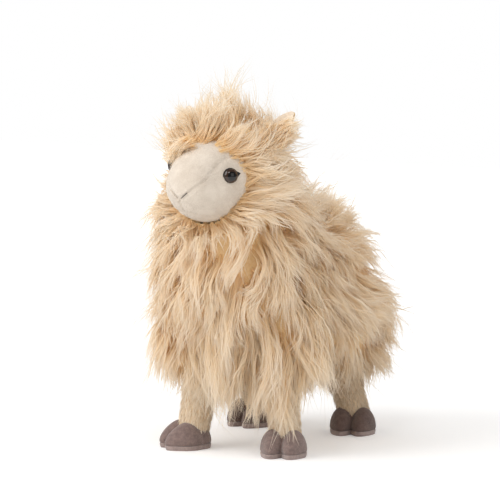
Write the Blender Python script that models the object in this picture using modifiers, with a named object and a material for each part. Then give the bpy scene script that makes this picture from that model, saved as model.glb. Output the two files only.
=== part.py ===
"""A standing plush llama with a long cream coat, as its sewn panels over their filling.

Metres, +Z up. The llama faces -Y and its left side is +X. The soles stand on Z = 0, and the
middle of the finished animal's box is over the origin.
"""

import math
import random

import bmesh
import bpy
from mathutils import Matrix, Vector
from mathutils.bvhtree import BVHTree

# Filled body and neck, inside the fur fabric
TORSO_HALF_WIDTH = 0.060
TORSO_HALF_LENGTH = 0.090
TORSO_HALF_HEIGHT = 0.056
TORSO_MIDDLE_Z = 0.116
NECK_ROOT = Vector((0.0, -0.056, 0.138))
NECK_ROOT_RADIUS = 0.048
NECK_TOP = Vector((0.0, -0.073, 0.206))
NECK_TOP_RADIUS = 0.035
SKULL = Vector((0.0, -0.080, 0.232))
SKULL_RADIUS = 0.034
LIMB_ROOT_RADII = Vector((0.025, 0.027, 0.034))
LIMB_ROOT_Z = 0.094

# Face, an egg that points forward, turned a little to the animal's right
FACE_MIDDLE = Vector((-0.003, -0.099, 0.226))
FACE_HALF_WIDTH = 0.034
FACE_HALF_LENGTH = 0.046
FACE_HALF_HEIGHT = 0.034
FACE_TURN = math.radians(-10.5)
FACE_TILT = math.radians(5.0)
FACE_WALL = 0.0026
SOCKET_PRESS = 0.0034
SOCKET_RADIUS = 0.0110
SOCKET_OUT = 0.0249
SOCKET_FORWARD = 0.0285
SOCKET_UP = 0.0090

# Seams of the face, as heights and widths seen from the front of the egg
BRIDGE_TOP_HALF_WIDTH = 0.0225
BRIDGE_WAIST_HALF_WIDTH = 0.0205
BRIDGE_WAIST_Z = 0.0066
BRIDGE_POINT_Z = -0.0116
LIP_MIDDLE_Z = -0.0222
LIP_CORNER_Z = -0.0245
PANEL_SEAM = 0.0003

# Edge of the long pile round the face, as (forward, up) from the middle of the egg
FUR_EDGE = (
    (0.0150, -0.0352), (0.0145, -0.0300), (0.0110, -0.0190), (0.0060, -0.0095), (0.0020, 0.0),
    (0.0010, 0.0090), (0.0050, 0.0195), (0.0120, 0.0265), (0.0190, 0.0320), (0.0240, 0.0440),
    (0.0200, 0.0620), (0.0100, 0.0800),
)
WINDOW_REACH = 0.110

# Eyes with a stem and a washer behind the fabric
EYE_RADIUS = 0.0060
EYE_DOME = 0.0042
EYE_OUT = 0.0290
EYE_FORWARD = 0.0165
EYE_UP = 0.0100
EYE_TURN = math.radians(58.0)
EYE_LIFT = math.radians(8.0)
EYE_STEM_RADIUS = 0.0016
EYE_SEAT_RADIUS = 0.0088
EYE_SEAT_DEPTH = 0.0008
FELT_THICKNESS = 0.0008
FELT_MARGIN = 0.0005
FELT_CORNER = 0.0026
WASHER_RADIUS = 0.0058
WASHER_THICKNESS = 0.0015
WASHER_BEHIND_SEAT = 0.0043
STEM_PAST_WASHER = 0.0010

# Nostril stitches beside the point of the bridge panel
STITCH_RADIUS = 0.0005
STITCH_IN = 0.0022
STITCH_OUT = 0.0082

# Legs and hooves
ANKLE_X = 0.0457
FRONT_RIGHT_ANKLE_X = 0.0385
ANKLE_Y = 0.0650
ANKLE_Z = 0.0180
ANKLE_RADIUS = 0.0134
KNEE_RADIUS = 0.0140
KNEE_SHARE = 0.42
HIP_X = 0.0340
HIP_Y = 0.0540
FRONT_HIP_RADIUS = 0.0165
REAR_HIP_RADIUS = 0.0215
LEG_TOP_Z = 0.0690
LEG_WALL = 0.0020
SOLE_THICKNESS = 0.0040
TOE_OFFSET = 0.0088
TOE_HALF_WIDTH = 0.0105
TOE_HALF_LENGTH = 0.0165
TOE_HEIGHT = 0.0222
TOE_FORWARD = 0.0105
TOE_MIDDLE_Z = 0.0050
TOE_TAPER = 0.28
TOE_SLOPE = 0.30
TOE_DRAWN_IN = 0.12
TOE_UNDERSIDE = 0.75
HEEL_RADIUS = 0.0152
HEEL_FORWARD = 0.0005
HOOF_WALL = 0.0018
CORE_BELOW_ANKLE = 0.0040
FRONT_LEFT_TOE_OUT = math.radians(14.0)
FRONT_RIGHT_TOE_OUT = math.radians(46.0)
REAR_LEFT_TOE_OUT = math.radians(16.0)
REAR_RIGHT_TOE_OUT = math.radians(12.0)

# Long pile, measured to the smooth surface that its locks lie on
FLANK_HALF_WIDTH = 0.0935
FLANK_HALF_LENGTH = 0.1130
FLANK_HALF_HEIGHT = 0.0580
FLANK_MIDDLE = Vector((0.0, 0.004, 0.101))
FLANK_ROUNDNESS = 0.68
BACK_RADII = Vector((0.077, 0.102, 0.063))
BACK_MIDDLE = Vector((0.0, 0.006, 0.142))
SKIRT_RADII = Vector((0.037, 0.039, 0.041))
SKIRT_X = 0.0380
SKIRT_Z = 0.086
MANE_ROOT_RADIUS = 0.0710
MANE_TOP_RADIUS = 0.0585
CROWN_MIDDLE = Vector((-0.005, -0.071, 0.240))
CROWN_RADIUS = 0.0535
TOPKNOT_MIDDLE = Vector((-0.006, -0.092, 0.278))
TOPKNOT_RADII = Vector((0.0345, 0.0295, 0.0275))
HEM_Z = 0.037
FRINGE_Z = 0.024

# Locks of the pile
LOCK_LENGTH = 0.056
LOCK_HALF_WIDTH = 0.0098
LOCK_HALF_DEPTH = 0.0044
LOCK_LIFT = 0.0052
LOCK_SINK = 0.0020
LOCK_SPACING = 0.0235
LOCK_WAVE = 0.30
CROWN_LOCK_LENGTH = 0.036
CROWN_LOCK_SPACING = 0.0180
LOW_LOCK_SHARE = 0.5
LOW_LOCK_Z = 0.070
LOCK_STATIONS = 7
LOCK_SIDES = 6
LOCK_SEED = 11
ROOT_TRIES = 5000

# Space round the bare face that no lock is rooted in, in the frame of the face
BARE_FORWARD = 0.004
BARE_LOW = -0.036
BARE_HIGH = 0.034
BARE_HALF_WIDTH = 0.060

# Panels of the pile
HOOD_SEAM = Vector((0.0, -0.100, 0.190))
HOOD_SEAM_NORMAL = Vector((0.0, -0.35, 0.937))
HOOD_MARGIN = 0.010
BELLY_HALF_WIDTH = 0.030
BELLY_HALF_LENGTH = 0.078
BELLY_TOP_Z = 0.076

# Ears and tail
EAR_ROOT = Vector((0.029, -0.070, 0.251))
EAR_TIP = Vector((0.048, -0.058, 0.281))
EAR_HALF_WIDTH = 0.0105
EAR_BACK_DEPTH = 0.0042
EAR_LINING_DEPTH = 0.0018
EAR_ROOM = 0.0009
TAIL_ROOT = Vector((0.0, 0.088, 0.152))
TAIL_TIP = Vector((0.0, 0.122, 0.098))
TAIL_HALF_WIDTH = 0.0125
TAIL_BOW = 0.006

# Clearances
GAP = 0.0004
SEAM_GAP = 0.0003

# Half size of a box that cuts right across the animal, and how far a short cutter reaches
WIDE = 0.400
CUTTER_REACH = 0.020

# Facets
BODY_FACETS = 760
COAT_FACETS = 900
PELT_FACETS = 5800
FORM_VOXEL = 0.0040
PELT_VOXEL = 0.0016

CREAM = (0.66, 0.47, 0.29)
FACE_CREAM = (0.78, 0.68, 0.56)
HOOF_GREY = (0.165, 0.125, 0.115)
FIBRE_WHITE = (0.86, 0.85, 0.82)
EYE_BROWN = (0.035, 0.018, 0.010)
BLACK = (0.010, 0.009, 0.009)
WASHER_WHITE = (0.70, 0.70, 0.68)

MODEL_COLLECTION = "plush_llama"
GUIDE_COLLECTION = "guides"


def clear_scene():
    """Take out the objects of the opening scene and make the two collections."""
    for old in list(bpy.data.objects):
        bpy.data.objects.remove(old, do_unlink=True)
    for name in (MODEL_COLLECTION, GUIDE_COLLECTION):
        collection = bpy.data.collections.new(name)
        bpy.context.scene.collection.children.link(collection)


def finish(name, colour, roughness):
    """A plain finish for one kind of fabric or plastic."""
    material = bpy.data.materials.new(name)
    material.use_nodes = True
    shader = material.node_tree.nodes["Principled BSDF"]
    shader.inputs["Base Color"].default_value = (*colour, 1.0)
    shader.inputs["Roughness"].default_value = roughness
    shader.inputs["Metallic"].default_value = 0.0
    material.diffuse_color = (*colour, 1.0)
    return material


def guide(name, bm):
    """Keep a bmesh as a guide object, which is a cutter or a form that pieces are cut from."""
    mesh = bpy.data.meshes.new(name)
    bm.to_mesh(mesh)
    bm.free()
    obj = bpy.data.objects.new(name, mesh)
    obj.hide_render = True
    obj.display_type = "WIRE"
    bpy.data.collections[GUIDE_COLLECTION].objects.link(obj)
    return obj


def settle(obj):
    """Apply an object's modifiers to its mesh."""
    graph = bpy.context.evaluated_depsgraph_get()
    mesh = bpy.data.meshes.new_from_object(obj.evaluated_get(graph))
    obj.modifiers.clear()
    obj.data = mesh
    return obj


def twin(obj, name):
    """A guide with its own copy of another guide's mesh."""
    bm = bmesh.new()
    bm.from_mesh(obj.data)
    return guide(name, bm)


def grown(obj, distance, name):
    """A copy whose surface stands off the original by a distance, or inside it when negative."""
    copy = twin(obj, name)
    offset = copy.modifiers.new("offset", "DISPLACE")
    offset.strength = distance
    offset.mid_level = 0.0
    return settle(copy)


def combine(obj, other, operation):
    """Cut, join or intersect a guide with another one."""
    step = obj.modifiers.new(operation.lower(), "BOOLEAN")
    step.object = other
    step.operation = operation
    return settle(obj)


def minus(obj, *cutters):
    for cutter in cutters:
        combine(obj, cutter, "DIFFERENCE")
    return obj


def within(obj, *limits):
    for limit in limits:
        combine(obj, limit, "INTERSECT")
    return obj


def largest_body(obj):
    """Drop the loose scraps that a cut leaves."""
    bm = bmesh.new()
    bm.from_mesh(obj.data)
    waiting = set(bm.verts)
    bodies = []
    while waiting:
        body = [waiting.pop()]
        for vert in body:
            for edge in vert.link_edges:
                other = edge.other_vert(vert)
                if other in waiting:
                    waiting.remove(other)
                    body.append(other)
        bodies.append(body)
    bodies.sort(key=len)
    scraps = [vert for body in bodies[:-1] for vert in body]
    bmesh.ops.delete(bm, geom=scraps, context="VERTS")
    bm.to_mesh(obj.data)
    bm.free()
    return obj


def piece(name, obj, material):
    """Turn a finished guide into one of the model's named pieces."""
    largest_body(obj)
    bpy.data.collections[GUIDE_COLLECTION].objects.unlink(obj)
    bpy.data.collections[MODEL_COLLECTION].objects.link(obj)
    obj.name = name
    obj.data.name = name
    obj.hide_render = False
    obj.display_type = "TEXTURED"
    obj.data.materials.clear()
    obj.data.materials.append(material)
    obj.data.shade_smooth()
    obj.data.set_sharp_from_angle(angle=math.radians(40.0))
    return obj


def egg(bm, middle, radii, turn=None, around=24, along=14):
    """Add a sphere that is scaled to three radii and may be turned."""
    placed = Matrix.Translation(middle)
    if turn is not None:
        placed = placed @ turn
    placed = placed @ Matrix.Diagonal((radii[0], radii[1], radii[2], 1.0))
    bmesh.ops.create_uvsphere(bm, u_segments=around, v_segments=along, radius=1.0, matrix=placed)


def chain(bm, start, end, start_radius, end_radius, balls=5):
    """Add a row of balls that runs from one radius to another."""
    for index in range(balls):
        share = index / (balls - 1)
        radius = start_radius + (end_radius - start_radius) * share
        egg(bm, start.lerp(end, share), (radius, radius, radius))


def soft_form(name, bm, voxel, smoothing, facets):
    """Blend the overlapping balls into one skin, soften it and thin out its facets."""
    form = guide(name, bm)
    skin = form.modifiers.new("skin", "REMESH")
    skin.mode = "VOXEL"
    skin.voxel_size = voxel
    soften = form.modifiers.new("soften", "SMOOTH")
    soften.factor = 0.5
    soften.iterations = smoothing
    settle(form)
    triangles = sum(len(face.vertices) - 2 for face in form.data.polygons)
    thin = form.modifiers.new("facets", "DECIMATE")
    thin.ratio = min(1.0, facets / triangles)
    return settle(form)


def box(name, low, high):
    bm = bmesh.new()
    size = Vector(high) - Vector(low)
    middle = (Vector(high) + Vector(low)) / 2
    placed = Matrix.Translation(middle) @ Matrix.Diagonal((size.x, size.y, size.z, 1.0))
    bmesh.ops.create_cube(bm, size=1.0, matrix=placed)
    return guide(name, bm)


def rod(name, start, end, radius, sides=20):
    """A round bar between two points."""
    bm = bmesh.new()
    axis = end - start
    placed = Matrix.Translation((start + end) / 2) @ axis.to_track_quat("Z", "Y").to_matrix().to_4x4()
    bmesh.ops.create_cone(bm, cap_ends=True, segments=sides, radius1=radius, radius2=radius,
                          depth=axis.length, matrix=placed)
    return guide(name, bm)


def curve_solid(name, curve, placed):
    """Turn a curve object into a closed mesh guide."""
    obj = bpy.data.objects.new(name, curve)
    bpy.data.collections[GUIDE_COLLECTION].objects.link(obj)
    obj.matrix_world = placed
    graph = bpy.context.evaluated_depsgraph_get()
    graph.update()
    mesh = bpy.data.meshes.new_from_object(obj.evaluated_get(graph))
    bm = bmesh.new()
    bm.from_mesh(mesh)
    bmesh.ops.remove_doubles(bm, verts=bm.verts, dist=0.000005)
    bmesh.ops.transform(bm, matrix=placed, verts=bm.verts)
    bmesh.ops.recalc_face_normals(bm, faces=bm.faces)
    bpy.data.objects.remove(obj, do_unlink=True)
    return guide(name, bm)


def plate(name, outline, half_thickness, placed):
    """A flat outline, given as points in its own plane, with a thickness."""
    curve = bpy.data.curves.new(name, "CURVE")
    curve.dimensions = "2D"
    curve.fill_mode = "BOTH"
    curve.extrude = half_thickness
    spline = curve.splines.new("POLY")
    spline.points.add(len(outline) - 1)
    for point, place in zip(spline.points, outline):
        point.co = (place[0], place[1], 0.0, 1.0)
    spline.use_cyclic_u = True
    return curve_solid(name, curve, placed)


def tube(name, stations, resolution=2):
    """A round tube through (point, radius) stations, with closed ends."""
    curve = bpy.data.curves.new(name, "CURVE")
    curve.dimensions = "3D"
    curve.bevel_depth = 1.0
    curve.bevel_resolution = resolution
    curve.use_fill_caps = True
    spline = curve.splines.new("POLY")
    spline.points.add(len(stations) - 1)
    for point, (place, radius) in zip(spline.points, stations):
        point.co = (*place, 1.0)
        point.radius = radius
    return curve_solid(name, curve, Matrix.Identity(4))


def smoothstep(low, high, value):
    share = min(1.0, max(0.0, (value - low) / (high - low)))
    return share * share * (3.0 - 2.0 * share)


# Face frame: x to the animal's left, -y forward and z up, about the middle of the egg
FACE_ROTATION = Matrix.Rotation(FACE_TURN, 4, "Z") @ Matrix.Rotation(FACE_TILT, 4, "Y")
FACE_PLACE = Matrix.Translation(FACE_MIDDLE) @ FACE_ROTATION
FACE_RADII = Vector((FACE_HALF_WIDTH, FACE_HALF_LENGTH, FACE_HALF_HEIGHT))


def face_point(x, forward, z):
    return FACE_PLACE @ Vector((x, -forward, z))


def eye_axis(side):
    out = math.cos(EYE_LIFT)
    local = Vector((side * math.sin(EYE_TURN) * out, -math.cos(EYE_TURN) * out, math.sin(EYE_LIFT)))
    return (FACE_ROTATION.to_3x3() @ local).normalized()


def press_sockets(obj):
    """Draw the fabric in beside the nose in front of each eye, as the maker's needle does."""
    for side in (-1, 1):
        middle = face_point(side * SOCKET_OUT, SOCKET_FORWARD, SOCKET_UP)
        inward = -eye_axis(side)
        for vert in obj.data.vertices:
            far = (vert.co - middle).length / SOCKET_RADIUS
            vert.co += inward * (SOCKET_PRESS * math.exp(-far * far))
    return obj


# Each leg's name, its side and end as signs, how far out it stands, its hip and how its toes turn
LEGS = (
    ("front_left", 1, -1, ANKLE_X, FRONT_HIP_RADIUS, FRONT_LEFT_TOE_OUT),
    ("front_right", -1, -1, FRONT_RIGHT_ANKLE_X, FRONT_HIP_RADIUS, FRONT_RIGHT_TOE_OUT),
    ("rear_left", 1, 1, ANKLE_X, REAR_HIP_RADIUS, REAR_LEFT_TOE_OUT),
    ("rear_right", -1, 1, ANKLE_X, REAR_HIP_RADIUS, REAR_RIGHT_TOE_OUT),
)


def make_filling_form():
    """The filled bag without its legs: torso, limb roots, neck, skull and muzzle."""
    bm = bmesh.new()
    egg(bm, (0.0, 0.004, TORSO_MIDDLE_Z), (TORSO_HALF_WIDTH, TORSO_HALF_LENGTH, TORSO_HALF_HEIGHT))
    for _, side, end, _, _, _ in LEGS:
        egg(bm, (side * HIP_X, end * HIP_Y, LIMB_ROOT_Z), LIMB_ROOT_RADII)
    chain(bm, NECK_ROOT, NECK_TOP, NECK_ROOT_RADIUS, NECK_TOP_RADIUS)
    egg(bm, SKULL, (SKULL_RADIUS, SKULL_RADIUS, SKULL_RADIUS))
    inner = [radius - FACE_WALL for radius in FACE_RADII]
    egg(bm, FACE_MIDDLE, inner, FACE_ROTATION)
    form = soft_form("filling_form", bm, FORM_VOXEL, 3, BODY_FACETS)
    return press_sockets(form)


def make_face_form():
    bm = bmesh.new()
    egg(bm, FACE_MIDDLE, FACE_RADII, FACE_ROTATION, around=26, along=16)
    return press_sockets(guide("face_form", bm))


def face_window(name, setback):
    """The space in front of the edge of the long pile, which the bare face stands in."""
    edge = [(forward - setback, z) for forward, z in FUR_EDGE]
    outline = edge + [(WINDOW_REACH, edge[-1][1]), (WINDOW_REACH, edge[0][1])]
    across = Matrix(((0, 0, 1, 0), (-1, 0, 0, 0), (0, 1, 0, 0), (0, 0, 0, 1)))
    return plate(name, outline, WINDOW_REACH, FACE_PLACE @ across)


def bridge_outline(margin):
    """The shield shape of the bridge panel, seen from the front."""
    right = [
        (BRIDGE_TOP_HALF_WIDTH + margin, FACE_HALF_HEIGHT * 1.6),
        (BRIDGE_TOP_HALF_WIDTH + margin, BRIDGE_WAIST_Z * 2.0),
        (BRIDGE_WAIST_HALF_WIDTH + margin, BRIDGE_WAIST_Z),
        (BRIDGE_WAIST_HALF_WIDTH * 0.5 + margin, BRIDGE_POINT_Z * 0.32),
    ]
    left = [(-x, z) for x, z in reversed(right)]
    return right + [(0.0, BRIDGE_POINT_Z - margin)] + left


def lip_outline(margin):
    """Everything under the mouth seam, seen from the front."""
    wide = FACE_HALF_WIDTH * 1.5
    half = FACE_HALF_WIDTH * 0.5
    low = -FACE_HALF_HEIGHT * 1.6
    top = [(half, LIP_CORNER_Z + margin), (0.0, LIP_MIDDLE_Z + margin), (-half, LIP_CORNER_Z + margin)]
    return [(wide, low), (wide, LIP_CORNER_Z + margin)] + top + [(-wide, LIP_CORNER_Z + margin), (-wide, low)]


def front_prism(name, outline):
    """An outline seen from the front, carried through the front of the face."""
    facing = Matrix(((1, 0, 0, 0), (0, 0, -1, 0), (0, 1, 0, 0), (0, 0, 0, 1)))
    forward = Matrix.Translation((0.0, -FACE_HALF_LENGTH, 0.0))
    return plate(name, outline, FACE_HALF_LENGTH * 1.2, FACE_PLACE @ forward @ facing)


def make_face(face_form, filling, velboa):
    """Four short-pile panels, cut from one shell along the seams of the face."""
    shell = twin(face_form, "face_shell")
    minus(shell, grown(filling, SEAM_GAP, "filling_in_face"))
    within(shell, face_window("face_window", 0.0))
    for side, _ in SIDES:
        seat, hole = eye_cutters(side)
        minus(shell, seat, hole)
    shell = largest_body(shell)
    bridge = within(twin(shell, "bridge"), front_prism("bridge_prism", bridge_outline(-PANEL_SEAM / 2)))
    chin = within(twin(shell, "chin"), front_prism("chin_prism", lip_outline(-PANEL_SEAM / 2)))
    around = minus(twin(shell, "around"),
                   front_prism("bridge_room", bridge_outline(PANEL_SEAM / 2)),
                   front_prism("chin_room", lip_outline(PANEL_SEAM / 2)))
    piece("face_bridge", bridge, velboa)
    piece("chin_panel", chin, velboa)
    reach = WINDOW_REACH
    for side, word in SIDES:
        limits = sorted((side * PANEL_SEAM / 2, side * reach))
        half = box("half_" + word, (limits[0], -reach, -reach), (limits[1], reach, reach))
        half.data.transform(FACE_PLACE)
        piece("cheek_" + word, within(twin(around, "cheek"), half), velboa)


SIDES = ((1, "left"), (-1, "right"))


def eye_seat(side):
    """The point in the middle of the flat seat that an eye is pulled down on."""
    surface = BVHTree.FromObject(bpy.data.objects["face_form"], bpy.context.evaluated_depsgraph_get())
    outside = face_point(side * EYE_OUT, EYE_FORWARD, EYE_UP) + eye_axis(side) * CUTTER_REACH
    point, _, _, _ = surface.ray_cast(outside, -eye_axis(side))
    return point - eye_axis(side) * EYE_SEAT_DEPTH


def eye_cutters(side):
    seat_point = eye_seat(side)
    axis = eye_axis(side)
    seat = rod("eye_seat", seat_point, seat_point + axis * CUTTER_REACH, EYE_SEAT_RADIUS)
    hole = rod("stem_hole", seat_point - axis * CUTTER_REACH, seat_point + axis * GAP,
               EYE_STEM_RADIUS + GAP, 12)
    return seat, hole


def eye_frame(side):
    """A frame on the seat with z along the eye's axis and x towards the back corner of the eye."""
    axis = eye_axis(side)
    back = (FACE_ROTATION.to_3x3() @ Vector((side * 0.3, 1.0, 0.22))).normalized()
    across = (back - axis * back.dot(axis)).normalized()
    up = axis.cross(across)
    frame = Matrix((across, up, axis)).transposed().to_4x4()
    frame.translation = eye_seat(side)
    return frame


def make_eye(side, word, plastic, felt, washer_finish):
    """One moulded eye with its stem, a felt patch under it and a washer inside the head."""
    frame = eye_frame(side)
    felt_low = SEAM_GAP
    dome_low = felt_low + FELT_THICKNESS + SEAM_GAP
    stem_low = -(WASHER_BEHIND_SEAT + WASHER_THICKNESS + STEM_PAST_WASHER)
    steps = 4
    profile = [(EYE_STEM_RADIUS, stem_low), (EYE_STEM_RADIUS, dome_low)]
    for index in range(steps):
        angle = math.pi / 2 * index / steps
        profile.append((EYE_RADIUS * math.cos(angle), dome_low + EYE_DOME * math.sin(angle)))
    bm = bmesh.new()
    points = [bm.verts.new((0.0, 0.0, stem_low))]
    points += [bm.verts.new((radius, 0.0, z)) for radius, z in profile]
    points.append(bm.verts.new((0.0, 0.0, dome_low + EYE_DOME)))
    for first, second in zip(points, points[1:]):
        bm.edges.new((first, second))
    bmesh.ops.spin(bm, geom=bm.verts[:] + bm.edges[:], cent=(0, 0, 0), axis=(0, 0, 1), dvec=(0, 0, 0),
                   angle=2 * math.pi, steps=16, use_merge=True)
    bmesh.ops.remove_doubles(bm, verts=bm.verts, dist=0.00001)
    bmesh.ops.recalc_face_normals(bm, faces=bm.faces)
    bmesh.ops.transform(bm, matrix=frame, verts=bm.verts)
    piece("eye_" + word, guide("eye", bm), plastic)

    patch_radius = EYE_RADIUS + FELT_MARGIN
    outline = []
    turn = 16
    for index in range(turn):
        angle = 2 * math.pi * index / turn
        reach = patch_radius + (FELT_CORNER if index == 0 else 0.0)
        outline.append((reach * math.cos(angle), reach * math.sin(angle)))
    middle = Matrix.Translation((0, 0, felt_low + FELT_THICKNESS / 2))
    patch = plate("felt", outline, FELT_THICKNESS / 2, frame @ middle)
    seat_point = frame.translation
    axis = eye_axis(side)
    hole = rod("felt_hole", seat_point - axis * FELT_THICKNESS, seat_point + axis * FELT_THICKNESS * 3.0,
               EYE_STEM_RADIUS + GAP, 12)
    piece("eye_felt_" + word, minus(patch, hole), felt)

    washer_top = seat_point - axis * WASHER_BEHIND_SEAT
    washer_low = washer_top - axis * WASHER_THICKNESS
    washer = rod("washer", washer_low, washer_top, WASHER_RADIUS, 16)
    hole = rod("washer_hole", washer_low - axis * WASHER_THICKNESS, washer_top + axis * WASHER_THICKNESS,
               EYE_STEM_RADIUS + GAP, 12)
    piece("eye_washer_" + word, minus(washer, hole), washer_finish)


def washer_room(side):
    """The space in the filling for a washer and the end of the eye's stem."""
    seat_point = eye_seat(side)
    axis = eye_axis(side)
    deep = WASHER_BEHIND_SEAT + WASHER_THICKNESS + STEM_PAST_WASHER + GAP
    return rod("washer_room", seat_point - axis * deep, seat_point + axis * CUTTER_REACH,
               WASHER_RADIUS + GAP, 16)


def make_stitches(face_form, thread):
    """A black stitch on each side of the point of the bridge panel."""
    surface = BVHTree.FromObject(face_form, bpy.context.evaluated_depsgraph_get())
    rise = (BRIDGE_WAIST_Z - BRIDGE_POINT_Z) / BRIDGE_WAIST_HALF_WIDTH
    for side, word in SIDES:
        stations = []
        for share in (0.0, 0.33, 0.67, 1.0):
            x = STITCH_IN + (STITCH_OUT - STITCH_IN) * share
            z = BRIDGE_POINT_Z + x * rise
            outside = face_point(side * x, FACE_HALF_LENGTH * 1.4, z)
            back = face_point(side * x, 0.0, z) - outside
            point, normal, _, _ = surface.ray_cast(outside, back.normalized())
            stations.append((point + normal * (STITCH_RADIUS + GAP), STITCH_RADIUS))
        piece("nostril_stitch_" + word, tube("stitch", stations, resolution=1), thread)


def hoof_frame(side, end, ankle_x, toe_out):
    return Matrix.Translation((side * ankle_x, end * ANKLE_Y, 0.0)) @ Matrix.Rotation(side * toe_out, 4, "Z")


def make_hoof_form(name, frame, inset):
    """Two toes, drop-shaped from above, and a heel under the leg, joined to one form."""
    form = None
    for toe in (-1, 1):
        bm = bmesh.new()
        egg(bm, (0, 0, 0), (1, 1, 1), around=10, along=6)
        for vert in bm.verts:
            forward = -vert.co.y
            narrow = 1.0 - TOE_TAPER * max(0.0, forward)
            lower = 1.0 - TOE_SLOPE * max(0.0, forward)
            height = TOE_HEIGHT - TOE_MIDDLE_Z - inset
            middle_x = toe * TOE_OFFSET * (1.0 - TOE_DRAWN_IN * forward)
            x = middle_x + vert.co.x * (TOE_HALF_WIDTH - inset) * narrow
            y = -TOE_FORWARD + vert.co.y * (TOE_HALF_LENGTH - inset)
            z = TOE_MIDDLE_Z + vert.co.z * height * (lower if vert.co.z > 0 else TOE_UNDERSIDE)
            vert.co = (x, y, z)
        lobe = guide("toe", bm)
        form = lobe if form is None else combine(form, lobe, "UNION")
    bm = bmesh.new()
    heel = HEEL_RADIUS - inset
    heel_height = TOE_HEIGHT - TOE_MIDDLE_Z - inset
    egg(bm, (0, -HEEL_FORWARD, TOE_MIDDLE_Z), (heel, heel, heel_height), around=10, along=6)
    combine(form, guide("heel", bm), "UNION")
    form.data.transform(frame)
    form.name = name
    return form


def make_leg(word, side, end, ankle_x, hip_radius, toe_out, filling_room, finishes):
    """One leg: a short-pile tube, a two-toed hoof with its sole, and the filling of both."""
    short_pile, suede, sole_finish, fibre = finishes
    frame = hoof_frame(side, end, ankle_x, toe_out)
    ankle = Vector((side * ankle_x, end * ANKLE_Y, ANKLE_Z))
    hip = Vector((side * HIP_X, end * HIP_Y, LEG_TOP_Z))
    knee = ankle.lerp(hip, KNEE_SHARE)

    def leg_tube(name, inset, low, high):
        """The leg's outline made thinner by an inset, and carried on past its ends."""
        down = (ankle - hip).normalized()
        stations = [(ankle, ANKLE_RADIUS - inset), (knee, KNEE_RADIUS - inset), (hip, hip_radius - inset)]
        if low > 0.0:
            stations.insert(0, (ankle + down * low, ANKLE_RADIUS - inset))
        if high > 0.0:
            stations.append((hip - down * high, hip_radius - inset))
        return tube(name, stations, resolution=1)

    outer = leg_tube("leg_outer", 0.0, 0.0, 0.0)
    below = box("below", (-WIDE, -WIDE, -WIDE), (WIDE, WIDE, ANKLE_Z))
    minus(outer, below)
    bore = leg_tube("leg_bore", LEG_WALL, CUTTER_REACH / 2, CUTTER_REACH / 2)
    leg = minus(twin(outer, "leg"), bore, filling_room)
    piece("leg_" + word, leg, short_pile)

    form = make_hoof_form("hoof_form", frame, 0.0)
    seat = leg_tube("leg_seat", -GAP, 0.0, 0.0)
    minus(seat, box("below_seat", (-WIDE, -WIDE, -WIDE), (WIDE, WIDE, ANKLE_Z - GAP)))
    inside = make_hoof_form("hoof_inside", frame, HOOF_WALL)
    above_sole = box("above_sole", (-WIDE, -WIDE, SOLE_THICKNESS + SEAM_GAP), (WIDE, WIDE, WIDE))
    upper = minus(within(twin(form, "upper"), above_sole), inside, seat)
    minus(upper, leg_tube("ankle_hole", LEG_WALL, CORE_BELOW_ANKLE * 1.25, 0.0))
    piece("hoof_upper_" + word, upper, suede)
    sole_slab = box("sole_slab", (-WIDE, -WIDE, 0.0), (WIDE, WIDE, SOLE_THICKNESS))
    piece("hoof_sole_" + word, within(twin(form, "sole"), sole_slab), sole_finish)

    stuffing = leg_tube("leg_core", LEG_WALL + GAP, CORE_BELOW_ANKLE, 0.0)
    core = make_hoof_form("hoof_core", frame, HOOF_WALL + GAP)
    minus(core, box("above_ankle", (-WIDE, -WIDE, ANKLE_Z - LEG_WALL), (WIDE, WIDE, WIDE)))
    combine(stuffing, core, "UNION")
    within(stuffing, above_sole)
    minus(stuffing, filling_room)
    piece("leg_stuffing_" + word, stuffing, fibre)
    return outer


def make_coat_form():
    """The smooth surface under the tips of the long pile."""
    bm = bmesh.new()
    flank = FLANK_HALF_WIDTH * FLANK_ROUNDNESS
    for side in (-1, 1):
        egg(bm, FLANK_MIDDLE + Vector((side * (FLANK_HALF_WIDTH - flank), 0.0, 0.0)),
            (flank, FLANK_HALF_LENGTH, FLANK_HALF_HEIGHT))
    egg(bm, BACK_MIDDLE, BACK_RADII)
    for _, side, end, _, _, _ in LEGS:
        egg(bm, (side * SKIRT_X, end * HIP_Y, SKIRT_Z), SKIRT_RADII)
    chain(bm, NECK_ROOT, NECK_TOP, MANE_ROOT_RADIUS, MANE_TOP_RADIUS)
    egg(bm, CROWN_MIDDLE, (CROWN_RADIUS, CROWN_RADIUS, CROWN_RADIUS))
    egg(bm, TOPKNOT_MIDDLE, TOPKNOT_RADII)
    return soft_form("coat_form", bm, FORM_VOXEL, 4, COAT_FACETS)


def above_hood_seam(point):
    return (point - HOOD_SEAM).dot(HOOD_SEAM_NORMAL)


def lie_of_hair(point, normal):
    """Which way the hair lies at a point: down and back on the body, away from the muzzle on the head."""
    back = 0.55 * smoothstep(-0.06, 0.06, point.y)
    hang = Vector((0.0, back, -1.0))
    muzzle = face_point(0.0, FACE_HALF_LENGTH, -0.010)
    away = (point - muzzle).normalized() + Vector((0.0, 0.10, 0.25))
    crown = smoothstep(CROWN_MIDDLE.z + 0.014, CROWN_MIDDLE.z + 0.044, point.z)
    away = away.lerp(Vector((point.x * 9.0, 0.15, 1.0)), crown)
    head = smoothstep(0.0, 0.030, above_hood_seam(point))
    lie = hang.lerp(away, head)
    lie -= normal * lie.dot(normal)
    return lie.normalized() if lie.length > 0.05 else Vector((0.0, 0.0, -1.0))


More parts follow.
